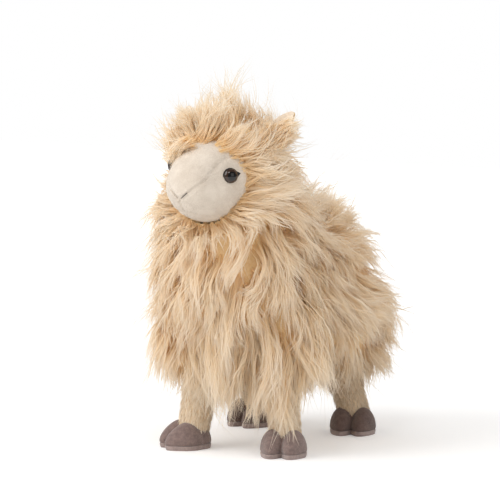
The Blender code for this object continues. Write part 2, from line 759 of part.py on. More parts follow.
def lock_path(surface, root, normal, length, bend):
    """Places along a lock: it follows the lie of the hair, rises off the coat and then hangs free."""
    places = [root - normal * LOCK_SINK]
    normals = [normal]
    step = length / LOCK_STATIONS
    spot = root
    for index in range(1, LOCK_STATIONS + 1):
        share = index / LOCK_STATIONS
        _, facing, _, _ = surface.find_nearest(spot)
        lie = lie_of_hair(spot, facing)
        side = lie.cross(facing)
        hang = smoothstep(0.05, 0.6, -facing.z) if above_hood_seam(spot) < 0.0 else 0.0
        course = lie.lerp(Vector((0.0, 0.0, -1.0)), hang)
        course += side * (bend * math.cos(math.pi * share * 1.3))
        spot = spot + course.normalized() * step
        near, facing, _, _ = surface.find_nearest(spot)
        height = (spot - near).dot(facing)
        lift = -LOCK_SINK + (LOCK_LIFT + LOCK_SINK) * share ** 1.3
        if height < lift:
            spot = spot + facing * (lift - height)
        spot.z = max(spot.z, hem_height(spot))
        places.append(spot)
        normals.append(facing)
    return places, normals


def hem_height(point):
    """How low the hair hangs: to the hem, and as a longer fringe over the front left leg."""
    near = Vector((point.x - ANKLE_X, point.y + ANKLE_Y)).length
    return FRINGE_Z + (HEM_Z - FRINGE_Z) * smoothstep(ANKLE_RADIUS, ANKLE_RADIUS * 3.0, near)


def add_lock(bm, places, normals, half_width, half_depth):
    """One lock of hair: a ball that is drawn out along its path to a point."""
    made = bmesh.ops.create_uvsphere(bm, u_segments=LOCK_SIDES, v_segments=LOCK_STATIONS, radius=1.0)
    for vert in made["verts"]:
        ring = round(math.acos(max(-1.0, min(1.0, vert.co.z))) / math.pi * LOCK_STATIONS)
        before = places[max(0, ring - 1)]
        after = places[min(LOCK_STATIONS, ring + 1)]
        along = (after - before).normalized()
        across = along.cross(normals[ring]).normalized()
        out = across.cross(along)
        swing = math.atan2(vert.co.y, vert.co.x)
        flat = math.cos(swing) if 0 < ring < LOCK_STATIONS else 0.0
        deep = math.sin(swing) if 0 < ring < LOCK_STATIONS else 0.0
        share = ring / LOCK_STATIONS
        full = math.sin(math.pi * share ** 0.62) ** 0.8
        vert.co = places[ring] + across * (flat * half_width * full) + out * (deep * half_depth * full)
    faces = {face for vert in made["verts"] for face in vert.link_faces}
    bmesh.ops.recalc_face_normals(bm, faces=list(faces))


def lock_roots(form, spacing, rng, keep):
    """Points spread over the coat, no two nearer than the spacing."""
    faces = [face for face in form.data.polygons]
    weights = [face.area for face in faces]
    roots = []
    for face in rng.choices(faces, weights=weights, k=ROOT_TRIES):
        corners = [form.data.vertices[index].co for index in face.vertices]
        first, second = rng.random(), rng.random()
        if first + second > 1.0:
            first, second = 1.0 - first, 1.0 - second
        point = corners[0] + (corners[1] - corners[0]) * first + (corners[2] - corners[0]) * second
        if not keep(point):
            continue
        if all((point - other[0]).length > spacing for other in roots):
            roots.append((point, face.normal.copy()))
    return roots


def in_face_window(point):
    local = FACE_PLACE.inverted() @ point
    return local.y < -BARE_FORWARD and BARE_LOW < local.z < BARE_HIGH and abs(local.x) < BARE_HALF_WIDTH


def make_pelt(coat_form):
    """The whole coat as one solid before it is cut into panels: the smooth form and all its locks."""
    rng = random.Random(LOCK_SEED)
    surface = BVHTree.FromObject(coat_form, bpy.context.evaluated_depsgraph_get())
    body_roots = lock_roots(coat_form, LOCK_SPACING, rng,
                            lambda point: above_hood_seam(point) < HOOD_MARGIN and not in_face_window(point))
    crown_roots = lock_roots(coat_form, CROWN_LOCK_SPACING, rng,
                             lambda point: above_hood_seam(point) >= HOOD_MARGIN and not in_face_window(point))
    bm = bmesh.new()
    bm.from_mesh(coat_form.data)
    for roots, length, narrow in ((body_roots, LOCK_LENGTH, 1.0), (crown_roots, CROWN_LOCK_LENGTH, 0.80)):
        for root, normal in roots:
            bend = rng.uniform(-LOCK_WAVE, LOCK_WAVE)
            reach = length * rng.uniform(0.85, 1.15)
            if root.z < LOW_LOCK_Z:
                reach *= LOW_LOCK_SHARE
            places, normals = lock_path(surface, root, normal, reach, bend)
            width = LOCK_HALF_WIDTH * narrow * rng.uniform(0.85, 1.15)
            add_lock(bm, places, normals, width, LOCK_HALF_DEPTH * narrow)
    return soft_form("pelt", bm, PELT_VOXEL, 1, PELT_FACETS)


def make_coat(pelt, rooms, long_pile):
    """Cut the pelt open round the filling, the legs, the face, the ears and the tail, then into panels."""
    minus(pelt, *rooms)
    reach = SEAM_GAP / 2
    seam_turn = HOOD_SEAM_NORMAL.to_track_quat("Z", "Y").to_matrix().to_4x4()
    upper = box("upper_room", (-WIDE, -WIDE, reach), (WIDE, WIDE, WIDE))
    lower = box("lower_room", (-WIDE, -WIDE, -WIDE), (WIDE, WIDE, -reach))
    for room in (upper, lower):
        room.data.transform(Matrix.Translation(HOOD_SEAM) @ seam_turn)
    piece("hood", within(twin(pelt, "hood_cut"), upper), long_pile)
    within(pelt, lower)
    inner = box("belly_room", (-BELLY_HALF_WIDTH + reach, -BELLY_HALF_LENGTH + reach, -WIDE),
                (BELLY_HALF_WIDTH - reach, BELLY_HALF_LENGTH - reach, BELLY_TOP_Z - reach))
    outer = box("belly_cut", (-BELLY_HALF_WIDTH - reach, -BELLY_HALF_LENGTH - reach, -WIDE),
                (BELLY_HALF_WIDTH + reach, BELLY_HALF_LENGTH + reach, BELLY_TOP_Z + reach))
    piece("belly_panel", within(twin(pelt, "belly"), inner), long_pile)
    minus(pelt, outer)
    for side, word in SIDES:
        limits = sorted((side * reach, side * WIDE))
        half = box("half", (limits[0], -WIDE, -WIDE), (limits[1], WIDE, WIDE))
        piece("coat_" + word, within(twin(pelt, "coat_half"), half), long_pile)


def leaf(name, root, tip, half_width, low, high, back):
    """A pointed leaf between two depths, for one layer of an ear."""
    axis = tip - root
    across = axis.cross(back).normalized()
    out = across.cross(axis).normalized()
    frame = Matrix((across, axis.normalized(), out)).transposed().to_4x4()
    frame.translation = root
    length = axis.length
    right = [(half_width * math.sin(math.pi * share) ** 0.75 * (1.0 - 0.35 * share), length * share)
             for share in (0.0, 0.12, 0.3, 0.5, 0.7, 0.86)]
    right = [(max(x, half_width * 0.45), y) if y < length * 0.2 else (x, y) for x, y in right]
    outline = right + [(0.0, length)] + [(-x, y) for x, y in reversed(right)]
    middle = Matrix.Translation((0.0, 0.0, (low + high) / 2))
    return plate(name, outline, (high - low) / 2, frame @ middle)


def make_ears(filling_room, long_pile, velboa):
    """Two ears of two layers each: hair outside and short pile inside. Returns the room they need."""
    rooms = []
    for side, word in SIDES:
        root = Vector((side * EAR_ROOT.x, EAR_ROOT.y, EAR_ROOT.z))
        tip = Vector((side * EAR_TIP.x, EAR_TIP.y, EAR_TIP.z))
        back = Vector((side * 0.35, 0.9, 0.2))
        lining = leaf("lining", root, tip, EAR_HALF_WIDTH * 0.8, -EAR_LINING_DEPTH, 0.0, back)
        furred = leaf("back", root, tip, EAR_HALF_WIDTH, SEAM_GAP, EAR_BACK_DEPTH, back)
        bm = bmesh.new()
        for obj in (lining, furred):
            bm.from_mesh(obj.data)
        hull = bmesh.ops.convex_hull(bm, input=bm.verts)
        spare = [item for item in hull["geom_interior"] if isinstance(item, bmesh.types.BMVert)]
        bmesh.ops.delete(bm, geom=spare, context="VERTS")
        hull_faces = {item for item in hull["geom"] if isinstance(item, bmesh.types.BMFace)}
        loose = [face for face in bm.faces if face not in hull_faces]
        bmesh.ops.delete(bm, geom=loose, context="FACES")
        bmesh.ops.recalc_face_normals(bm, faces=bm.faces)
        rooms.append(grown(guide("ear_hull", bm), EAR_ROOM, "ear_room"))
        piece("ear_lining_" + word, minus(lining, filling_room), velboa)
        piece("ear_back_" + word, minus(furred, filling_room), long_pile)
    return rooms


def make_tail(filling_room, long_pile):
    """A short drooping tail. Returns the room that it needs in the coat."""
    path = [TAIL_ROOT.lerp(TAIL_TIP, index / LOCK_STATIONS) for index in range(LOCK_STATIONS + 1)]
    for index, place in enumerate(path):
        place.y += TAIL_BOW * math.sin(math.pi * index / LOCK_STATIONS)
    behind = [Vector((0.0, 0.85, 0.5))] * (LOCK_STATIONS + 1)
    bm = bmesh.new()
    add_lock(bm, path, behind, TAIL_HALF_WIDTH, TAIL_HALF_WIDTH * 0.75)
    tail = guide("tail_form", bm)
    room = grown(tail, GAP * 1.5, "tail_room")
    piece("tail", minus(tail, filling_room), long_pile)
    return room


def stand_over_origin():
    """Move every piece so that the middle of the whole box is over the origin."""
    pieces = bpy.data.collections[MODEL_COLLECTION].objects
    corners = [vert.co for obj in pieces for vert in obj.data.vertices]
    low = Vector([min(corner[axis] for corner in corners) for axis in range(3)])
    high = Vector([max(corner[axis] for corner in corners) for axis in range(3)])
    shift = Vector((-(low.x + high.x) / 2, -(low.y + high.y) / 2, -low.z))
    for obj in pieces:
        obj.location = shift


def main():
    clear_scene()
    long_pile = finish("long_pile", CREAM, 0.85)
    velboa = finish("face_pile", FACE_CREAM, 0.90)
    short_pile = finish("leg_pile", CREAM, 0.88)
    suede = finish("hoof_suede", HOOF_GREY, 0.80)
    sole_finish = finish("sole_suede", HOOF_GREY, 0.85)
    fibre = finish("fibre", FIBRE_WHITE, 0.95)
    plastic = finish("eye_plastic", EYE_BROWN, 0.08)
    felt = finish("eye_felt", BLACK, 0.95)
    thread = finish("thread", BLACK, 0.70)
    washer_finish = finish("washer_plastic", WASHER_WHITE, 0.40)

    filling = make_filling_form()
    filling_room = grown(filling, GAP, "filling_room")
    face_form = make_face_form()
    make_face(face_form, filling, velboa)
    for side, word in SIDES:
        make_eye(side, word, plastic, felt, washer_finish)
    make_stitches(face_form, thread)

    finishes = (short_pile, suede, sole_finish, fibre)
    leg_rooms = []
    for word, side, end, ankle_x, hip_radius, toe_out in LEGS:
        outer = make_leg(word, side, end, ankle_x, hip_radius, toe_out, filling_room, finishes)
        leg_rooms.append(grown(outer, GAP, "leg_room"))
    ear_rooms = make_ears(filling_room, long_pile, velboa)
    tail_room = make_tail(filling_room, long_pile)

    face_room = face_window("face_room", SEAM_GAP)
    rooms = [filling_room, face_room, grown(face_form, GAP, "face_egg_room"), *leg_rooms, *ear_rooms, tail_room]
    pelt = make_pelt(make_coat_form())
    make_coat(pelt, rooms, long_pile)

    minus(filling, washer_room(1), washer_room(-1))
    piece("body_stuffing", filling, fibre)
    stand_over_origin()


main()
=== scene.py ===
"""A plush llama with a long wavy coat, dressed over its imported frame.

Metres, +Z up. The llama faces -Y and its left side is +X. Places are given from the middle of the
stance, on the surface that the soles stand on.
"""
import math

import bmesh
import bpy
import numpy as np
from mathutils import Matrix, Vector, noise
from mathutils.bvhtree import BVHTree


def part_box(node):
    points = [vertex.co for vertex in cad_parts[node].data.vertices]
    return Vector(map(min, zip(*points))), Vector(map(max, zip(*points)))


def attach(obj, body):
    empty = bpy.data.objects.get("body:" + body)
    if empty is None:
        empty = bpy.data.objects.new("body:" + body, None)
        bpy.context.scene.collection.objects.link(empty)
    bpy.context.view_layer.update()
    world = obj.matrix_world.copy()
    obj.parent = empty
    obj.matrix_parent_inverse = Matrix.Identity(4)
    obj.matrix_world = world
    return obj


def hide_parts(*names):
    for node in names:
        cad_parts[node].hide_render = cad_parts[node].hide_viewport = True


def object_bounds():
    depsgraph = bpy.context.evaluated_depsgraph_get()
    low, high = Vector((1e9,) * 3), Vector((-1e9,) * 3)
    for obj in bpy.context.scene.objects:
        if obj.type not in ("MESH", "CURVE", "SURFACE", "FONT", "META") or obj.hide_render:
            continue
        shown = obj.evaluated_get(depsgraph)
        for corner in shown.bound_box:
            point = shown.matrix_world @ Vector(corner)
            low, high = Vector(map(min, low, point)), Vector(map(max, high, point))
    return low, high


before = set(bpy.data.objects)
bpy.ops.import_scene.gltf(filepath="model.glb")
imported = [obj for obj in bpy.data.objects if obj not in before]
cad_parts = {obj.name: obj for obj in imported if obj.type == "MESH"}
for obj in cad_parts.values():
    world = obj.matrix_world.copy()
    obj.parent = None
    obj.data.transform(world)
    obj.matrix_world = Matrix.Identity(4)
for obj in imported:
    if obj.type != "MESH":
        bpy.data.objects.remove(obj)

cad_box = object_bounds()

SIDES = (("left", 1), ("right", -1))
LEG_WORDS = ("front_left", "front_right", "rear_left", "rear_right")
leg_boxes = [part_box("leg_" + word) for word in LEG_WORDS]
stance = Vector((
    (min(low.x for low, _ in leg_boxes) + max(high.x for _, high in leg_boxes)) / 2,
    (min(low.y for low, _ in leg_boxes) + max(high.y for _, high in leg_boxes)) / 2,
    0.0,
))


# The filling of body, legs and hooves is loose polyester fibre, stuffed in by hand through the
# seams. Nobody sees it, but it keeps its own matt white fluff.
FIBRE_LIT = (0.88, 0.87, 0.84)
FIBRE_SHADED = (0.70, 0.69, 0.66)
NAP_SHARE = 0.35
SHADED_AT = 0.38
LIT_AT = 0.60


def finish(name, colour, roughness, sheen=0.0):
    """A finish with one shader, which its own nodes can be wired to."""
    material = bpy.data.materials.new(name)
    material.use_nodes = True
    shader = material.node_tree.nodes["Principled BSDF"]
    shader.inputs["Base Color"].default_value = (*colour, 1.0)
    shader.inputs["Roughness"].default_value = roughness
    shader.inputs["Sheen Weight"].default_value = sheen
    shader.inputs["Sheen Roughness"].default_value = 0.5
    return material


def add(material, kind, **values):
    """A node with its inputs set by name."""
    made = material.node_tree.nodes.new("ShaderNode" + kind)
    for name, value in values.items():
        made.inputs[name.replace("_", " ")].default_value = value
    return made


def wire(material, source, target):
    material.node_tree.links.new(source, target)


def shader_of(material):
    return material.node_tree.nodes["Principled BSDF"]


def ramp(material, factor, stops, steps=False):
    """A colour ramp over a value, from (place, colour) stops."""
    made = add(material, "ValToRGB")
    band = made.color_ramp
    band.interpolation = "CONSTANT" if steps else "LINEAR"
    while len(band.elements) < len(stops):
        band.elements.new(1.0)
    for element, (place, colour) in zip(band.elements, stops):
        element.position = place
        element.color = (*colour, 1.0)
    wire(material, factor, made.inputs["Fac"])
    return made.outputs["Color"]


def napped(name, shaded, lit, roughness, sheen, drift, nap, depth):
    """Brushed fabric: tones that drift in soft blotches, and a nap of fine bumps."""
    material = finish(name, lit, roughness, sheen)
    place = add(material, "TexCoord").outputs["Object"]
    blotch = add(material, "TexNoise", Scale=drift, Detail=4.0, Roughness=0.6)
    pile = add(material, "TexNoise", Scale=nap, Detail=3.0, Roughness=0.7)
    for texture in (blotch, pile):
        wire(material, place, texture.inputs["Vector"])
    blend = add(material, "Mix", Factor=NAP_SHARE)
    wire(material, blotch.outputs["Fac"], blend.inputs["A"])
    wire(material, pile.outputs["Fac"], blend.inputs["B"])
    tone = ramp(material, blend.outputs["Result"], ((SHADED_AT, shaded), (LIT_AT, lit)))
    wire(material, tone, shader_of(material).inputs["Base Color"])
    bump = add(material, "Bump", Strength=1.0, Distance=depth)
    wire(material, pile.outputs["Fac"], bump.inputs["Height"])
    wire(material, bump.outputs["Normal"], shader_of(material).inputs["Normal"])
    return material


def paint(node, material):
    """Give a CAD node its finish."""
    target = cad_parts[node]
    target.data.materials.clear()
    target.data.materials.append(material)


fibre = napped("polyester_fibre", FIBRE_SHADED, FIBRE_LIT, roughness=0.95, sheen=0.2,
               drift=180.0, nap=900.0, depth=0.0008)
paint("body_stuffing", fibre)
for word in LEG_WORDS:
    paint("leg_stuffing_" + word, fibre)


# The head's bare face is short-pile plush in four panels: a shield over forehead and nose, two
# cheeks and a chin. They are sewn right sides together, so each seam lies in a soft groove with
# small puckers, and the fabric is drawn in beside the nose in front of each eye.
FACE_MIDDLE = Vector((-0.003, -0.099, 0.226))
FACE_HALF_WIDTH = 0.034
FACE_HALF_LENGTH = 0.046
FACE_HALF_HEIGHT = 0.034
FACE_TURN = math.radians(-10.5)
FACE_TILT = math.radians(5.0)
BRIDGE_TOP_HALF_WIDTH = 0.0225
BRIDGE_WAIST_HALF_WIDTH = 0.0205
BRIDGE_WAIST_Z = 0.0066
BRIDGE_POINT_Z = -0.0116
LIP_MIDDLE_Z = -0.0222
LIP_CORNER_Z = -0.0245
EYE_OUT = 0.0290
EYE_FORWARD = 0.0165
EYE_UP = 0.0100
EYE_TURN = math.radians(58.0)
EYE_LIFT = math.radians(8.0)
SOCKET_OUT = EYE_OUT * 0.86
SOCKET_FORWARD = EYE_FORWARD + 0.012
SOCKET_UP = EYE_UP - 0.001
SOCKET_PRESS = 0.0034
SOCKET_RADIUS = 0.0110
SEAM_HALF_WIDTH = 0.0011
SEAM_DEPTH = 0.0006
SEAM_SNAP = 0.00042
SEAM_END_SHARE = 0.35
SEAM_ROLL = 0.00022
ROLL_OFFSET = 2.4 * SEAM_HALF_WIDTH
ROLL_HALF_WIDTH = 1.2 * SEAM_HALF_WIDTH
PUCKER_DEPTH = 0.00022
PUCKER_SPACING = 0.0033
PUCKER_WANDER = 1.3
PUCKER_REACH = 3.0 * SEAM_HALF_WIDTH
PANELS_END_Y = 0.010
FAR_OFF = 1e9
FACE_AROUND = 216
FACE_ALONG = 128
FACE_LIT = (0.80, 0.70, 0.59)
FACE_SHADED = (0.67, 0.57, 0.465)

face_turn = Matrix.Rotation(FACE_TURN, 4, "Z") @ Matrix.Rotation(FACE_TILT, 4, "Y")
face_place = Matrix.Translation(stance + FACE_MIDDLE) @ face_turn
face_radii = np.array((FACE_HALF_WIDTH, FACE_HALF_LENGTH, FACE_HALF_HEIGHT))


def face_point(x, forward, z):
    """A place from the middle of the face: to its left, forward and up."""
    return face_place @ Vector((x, -forward, z))


def eye_axis(side):
    """Which way an eye looks out of the face."""
    out = math.cos(EYE_LIFT)
    local = Vector((side * math.sin(EYE_TURN) * out, -math.cos(EYE_TURN) * out, math.sin(EYE_LIFT)))
    return (face_turn.to_3x3() @ local).normalized()


def seam_offset(places, path):
    """How far each (x, z) place lies from a seam's path, with the nearest place on it."""
    best = np.full(len(places), FAR_OFF)
    nearest = np.zeros_like(places)
    for start, end in zip(path[:-1], path[1:]):
        along = end - start
        if not along.any():
            continue
        share = np.clip(((places - start) @ along) / (along @ along), 0.0, 1.0)
        foot = start + share[:, None] * along
        gap = np.linalg.norm(places - foot, axis=1)
        closer = gap < best
        best[closer] = gap[closer]
        nearest[closer] = foot[closer]
    return best, nearest


def smooth_path(points, rounds):
    """Corners cut off a path again and again, which leaves a smooth curve with the same ends."""
    path = np.array(points, dtype=float)
    for _ in range(rounds):
        first, last = path[:1], path[-1:]
        low = path[:-1] * 0.75 + path[1:] * 0.25
        high = path[:-1] * 0.25 + path[1:] * 0.75
        path = np.concatenate([first, np.stack([low, high], 1).reshape(-1, 2), last])
    return path


def bridge_half(side):
    """One side of the shield's outline, seen from the front, from its top to its point."""
    corners = [
        (BRIDGE_TOP_HALF_WIDTH, FACE_HALF_HEIGHT * 1.3),
        (BRIDGE_TOP_HALF_WIDTH, BRIDGE_WAIST_Z * 2.0),
        (BRIDGE_WAIST_HALF_WIDTH, BRIDGE_WAIST_Z),
        (BRIDGE_WAIST_HALF_WIDTH * 0.5, BRIDGE_POINT_Z * 0.32),
        (0.0, BRIDGE_POINT_Z),
    ]
    return smooth_path([(side * x, z) for x, z in corners], 2)


bridge_path = np.concatenate([bridge_half(1), bridge_half(-1)[::-1]])
lip_path = smooth_path([
    (FACE_HALF_WIDTH * 1.4, LIP_CORNER_Z),
    (FACE_HALF_WIDTH * 0.5, LIP_CORNER_Z),
    (0.0, LIP_MIDDLE_Z),
    (-FACE_HALF_WIDTH * 0.5, LIP_CORNER_Z),
    (-FACE_HALF_WIDTH * 1.4, LIP_CORNER_Z),
], 2)
nose_path = np.array([(0.0, BRIDGE_POINT_Z), (0.0, LIP_MIDDLE_Z)])
seam_paths = (bridge_path, lip_path, nose_path)


def inside_path(places, path):
    """Whether each (x, z) place lies inside a closed outline."""
    inside = np.zeros(len(places), dtype=bool)
    for start, end in zip(path, np.roll(path, -1, axis=0)):
        spans = (start[1] > places[:, 1]) != (end[1] > places[:, 1])
        rise = end[1] - start[1]
        cross = start[0] + (places[:, 1] - start[1]) * (end[0] - start[0]) / (rise if rise else 1e-12)
        inside ^= spans & (places[:, 0] < cross)
    return inside


def egg_grid(around, along):
    """Unit directions of a round grid whose poles lie at the nose and at the back of the head."""
    turn = np.linspace(0.0, 2.0 * np.pi, around, endpoint=False)
    tilt = np.linspace(0.0, np.pi, along + 1)
    sin_tilt = np.sin(tilt)[:, None]
    grid = np.stack([
        sin_tilt * np.sin(turn)[None],
        -np.cos(tilt)[:, None] * np.ones_like(turn)[None],
        sin_tilt * np.cos(turn)[None],
    ], axis=2)
    return grid.reshape(-1, 3)


def panel_mesh(name, verts, quads):
    """A mesh of some quads of a larger grid, with the vertices that they use."""
    used, renamed = np.unique(quads, return_inverse=True)
    mesh = bpy.data.meshes.new(name)
    mesh.from_pydata(verts[used].tolist(), [], renamed.reshape(-1, 4).tolist())
    bm = bmesh.new()
    bm.from_mesh(mesh)
    bmesh.ops.remove_doubles(bm, verts=bm.verts, dist=1e-6)
    bmesh.ops.dissolve_degenerate(bm, edges=bm.edges, dist=1e-7)
    bm.to_mesh(mesh)
    bm.free()
    mesh.shade_smooth()
    return mesh


def dress(name, mesh, material, slot, *nodes):
    """A piece of the object: its finish and the CAD nodes that it stands for. The slot is not used."""
    mesh.materials.clear()
    mesh.materials.append(material)
    piece = bpy.data.objects.new(name, mesh)
    bpy.context.scene.collection.objects.link(piece)
    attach(piece, "root")
    if nodes:
        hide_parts(*nodes)
    return piece


directions = egg_grid(FACE_AROUND, FACE_ALONG)
egg_verts = directions * face_radii
front = directions[:, 1] < SEAM_END_SHARE
for path in seam_paths:
    gap, foot = seam_offset(egg_verts[:, [0, 2]], path)
    snap = front & (gap < SEAM_SNAP)
    egg_verts[snap, 0] = foot[snap, 0]
    egg_verts[snap, 2] = foot[snap, 1]
    width = 1.0 - (egg_verts[snap, 0] / FACE_HALF_WIDTH) ** 2
    width -= (egg_verts[snap, 2] / FACE_HALF_HEIGHT) ** 2
    egg_verts[snap, 1] = -FACE_HALF_LENGTH * np.sqrt(np.clip(width, 0.0, 1.0))

flat = egg_verts[:, [0, 2]].copy()
seam_gap = np.full(len(flat), FAR_OFF)
for path in seam_paths:
    gap, _ = seam_offset(flat, path)
    seam_gap = np.minimum(seam_gap, gap)
seam_gap[~front] = FAR_OFF
normals = egg_verts / face_radii ** 2
normals /= np.linalg.norm(normals, axis=1)[:, None]
groove = SEAM_DEPTH * np.exp(-((seam_gap / SEAM_HALF_WIDTH) ** 2))
roll = SEAM_ROLL * np.exp(-(((seam_gap - ROLL_OFFSET) / ROLL_HALF_WIDTH) ** 2))
run = (flat[:, 0] - flat[:, 1]) / PUCKER_SPACING
fade = np.exp(-((seam_gap / PUCKER_REACH) ** 2))
pucker = PUCKER_DEPTH * fade * np.sin(2.0 * np.pi * run + PUCKER_WANDER * np.sin(run))
egg_verts += normals * (roll + pucker - groove)[:, None]

to_world = np.array(face_place)
face_verts = egg_verts @ to_world[:3, :3].T + to_world[:3, 3]
for _, side in SIDES:
    middle = np.array(face_point(side * SOCKET_OUT, SOCKET_FORWARD, SOCKET_UP))
    far = np.linalg.norm(face_verts - middle, axis=1) / SOCKET_RADIUS
    face_verts -= np.array(eye_axis(side)) * (SOCKET_PRESS * np.exp(-far * far))[:, None]

row, column = np.meshgrid(np.arange(FACE_ALONG), np.arange(FACE_AROUND), indexing="ij")
following = (column + 1) % FACE_AROUND
face_quads = np.stack([
    row * FACE_AROUND + column, row * FACE_AROUND + following,
    (row + 1) * FACE_AROUND + following, (row + 1) * FACE_AROUND + column,
], axis=2).reshape(-1, 4)
centres = (directions * face_radii)[face_quads].mean(axis=1)
settled = flat[face_quads].mean(axis=1)
in_front = centres[:, 1] < PANELS_END_Y
on_bridge = inside_path(settled, bridge_path) & in_front
lip_height = np.interp(settled[:, 0], lip_path[::-1, 0], lip_path[::-1, 1])
under_lip = (settled[:, 1] < lip_height) & in_front
beside = in_front & ~on_bridge & ~under_lip

face_pile = napped("face_short_pile", FACE_SHADED, FACE_LIT, roughness=0.92, sheen=0.35,
                   drift=85.0, nap=950.0, depth=0.00085)
for name, chosen in (
    ("face_bridge", on_bridge),
    ("chin_panel", under_lip),
    ("cheek_left", beside & (settled[:, 0] > 0.0)),
    ("cheek_right", beside & (settled[:, 0] <= 0.0)),
):
    mesh = panel_mesh(name, face_verts, face_quads[chosen])
    panel = dress(name + "_plush", mesh, face_pile, "face_pile", name)


# Each eye is a moulded dome with a stem: clear gloss over a brown iris and a black pupil. Under it
# lies a black felt patch with a corner at the back, and a ribbed washer holds the stem inside.
EYE_RADIUS = 0.0060
EYE_DOME = 0.0042
PUPIL_SHARE = 0.62
EYE_AROUND = 64
EYE_RINGS = 20
EYE_LOW = 0.0012
EYE_CORNER_WAY = (0.3, 1.0, 0.22)
PUPIL_EDGE_IN = 0.06
PUPIL_EDGE_OUT = 0.04
IRIS_END_SHARE = 0.84
RIM_SHARE = 0.97
FLECK_DARK = (0.75, 0.75, 0.75)
FLECK_PALE = (1.25, 1.2, 1.15)
IRIS_BROWN = (0.038, 0.018, 0.010)
IRIS_RIM = (0.012, 0.006, 0.004)
PUPIL_BLACK = (0.003, 0.003, 0.003)
EYE_SHINE = 0.75
FELT_BLACK = (0.012, 0.011, 0.011)
FELT_GREY = (0.030, 0.028, 0.027)
WASHER_WHITE = (0.70, 0.70, 0.68)
WASHER_SHADED = (0.62, 0.62, 0.60)


def eye_seat(word, side):
    """A frame where the eye is pulled down on the cheek: z along its axis and x to its back corner."""
    axis = eye_axis(side)
    out, away, up = EYE_CORNER_WAY
    back = (face_turn.to_3x3() @ Vector((side * out, away, up))).normalized()
    across = (back - axis * back.dot(axis)).normalized()
    seat = Matrix((across, axis.cross(across), axis)).transposed().to_4x4()
    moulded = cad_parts["eye_" + word].data.vertices
    top = max((vert.co.dot(axis), index) for index, vert in enumerate(moulded))
    seat.translation = moulded[top[1]].co - axis * EYE_DOME
    return seat


def worked(material, kind, operation, *values):
    """A maths node over some values, each a number or what another node gives."""
    made = add(material, kind)
    made.operation = operation
    for socket, value in zip(made.inputs, values):
        if isinstance(value, bpy.types.NodeSocket):
            wire(material, value, socket)
        else:
            socket.default_value = value
    return made.outputs["Value"]


def multiplied(material, first, second):
    """One colour times another."""
    made = add(material, "Mix")
    made.data_type = "RGBA"
    made.blend_type = "MULTIPLY"
    made.inputs["Factor"].default_value = 1.0
    wire(material, first, made.inputs["A"])
    wire(material, second, made.inputs["B"])
    return made.outputs["Result"]


def smooth_mesh(name, bm):
    """A mesh of a finished form, shaded smooth."""
    mesh = bpy.data.meshes.new(name)
    bm.to_mesh(mesh)
    bm.free()
    mesh.shade_smooth()
    return mesh


eye_gloss = finish("eye_gloss", IRIS_BROWN, 0.05)
shader_of(eye_gloss).inputs["Specular IOR Level"].default_value = EYE_SHINE
eye_place = add(eye_gloss, "TexCoord").outputs["Object"]
parts = add(eye_gloss, "SeparateXYZ")
wire(eye_gloss, eye_place, parts.inputs["Vector"])
planar = add(eye_gloss, "CombineXYZ")
wire(eye_gloss, parts.outputs["X"], planar.inputs["X"])
wire(eye_gloss, parts.outputs["Y"], planar.inputs["Y"])
from_middle = worked(eye_gloss, "VectorMath", "LENGTH", planar.outputs["Vector"])
iris = ramp(eye_gloss, worked(eye_gloss, "Math", "DIVIDE", from_middle, EYE_RADIUS), (
    (PUPIL_SHARE - PUPIL_EDGE_IN, PUPIL_BLACK), (PUPIL_SHARE + PUPIL_EDGE_OUT, IRIS_BROWN),
    (IRIS_END_SHARE, IRIS_BROWN), (RIM_SHARE, IRIS_RIM),
))
fleck = add(eye_gloss, "TexNoise", Scale=1400.0, Detail=2.0)
wire(eye_gloss, eye_place, fleck.inputs["Vector"])
fleck_tone = ramp(eye_gloss, fleck.outputs["Fac"], ((0.35, FLECK_DARK), (0.65, FLECK_PALE)))
wire(eye_gloss, multiplied(eye_gloss, iris, fleck_tone), shader_of(eye_gloss).inputs["Base Color"])

felt = napped("black_felt", FELT_BLACK, FELT_GREY, roughness=0.95, sheen=0.1,
              drift=500.0, nap=2500.0, depth=0.0002)
washer_plastic = napped("washer_plastic", WASHER_SHADED, WASHER_WHITE, roughness=0.40, sheen=0.0,
                        drift=300.0, nap=800.0, depth=0.00002)

for word, side in SIDES:
    seat = eye_seat(word, side)
    bm = bmesh.new()
    bmesh.ops.create_uvsphere(bm, u_segments=EYE_AROUND, v_segments=EYE_RINGS * 2, radius=1.0)
    for vert in bm.verts:
        flatness = EYE_DOME if vert.co.z > 0 else EYE_LOW
        vert.co = (vert.co.x * EYE_RADIUS, vert.co.y * EYE_RADIUS, vert.co.z * flatness)
    mesh = smooth_mesh("eye_dome", bm)
    mesh.materials.append(eye_gloss)
    dome = bpy.data.objects.new("eye_dome_" + word, mesh)
    bpy.context.scene.collection.objects.link(dome)
    dome.matrix_world = seat
    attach(dome, "root")
    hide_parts("eye_" + word)
    paint("eye_felt_" + word, felt)
    paint("eye_washer_" + word, washer_plastic)


# Two stitches of twisted black embroidery thread run up beside the point of the shield, one from
# each side of the nose. The near one lies on the pile. The far one is drawn in so tight that the
# pale pile closes over its thread and leaves a fine line.
THREAD_BLACK = (0.010, 0.009, 0.009)
THREAD_GREY = (0.035, 0.033, 0.032)
TUCKED_LIT = (0.62, 0.53, 0.43)
TUCKED_SHADED = (0.50, 0.42, 0.33)
THREAD_SHARE = 0.55
THREAD_LIFT = 0.0003

black_thread = napped("black_thread", THREAD_BLACK, THREAD_GREY, roughness=0.70, sheen=0.0,
                      drift=2500.0, nap=5000.0, depth=0.0001)
tucked_thread = napped("tucked_thread", TUCKED_SHADED, TUCKED_LIT, roughness=0.80, sheen=0.0,
                       drift=2500.0, nap=5000.0, depth=0.0001)


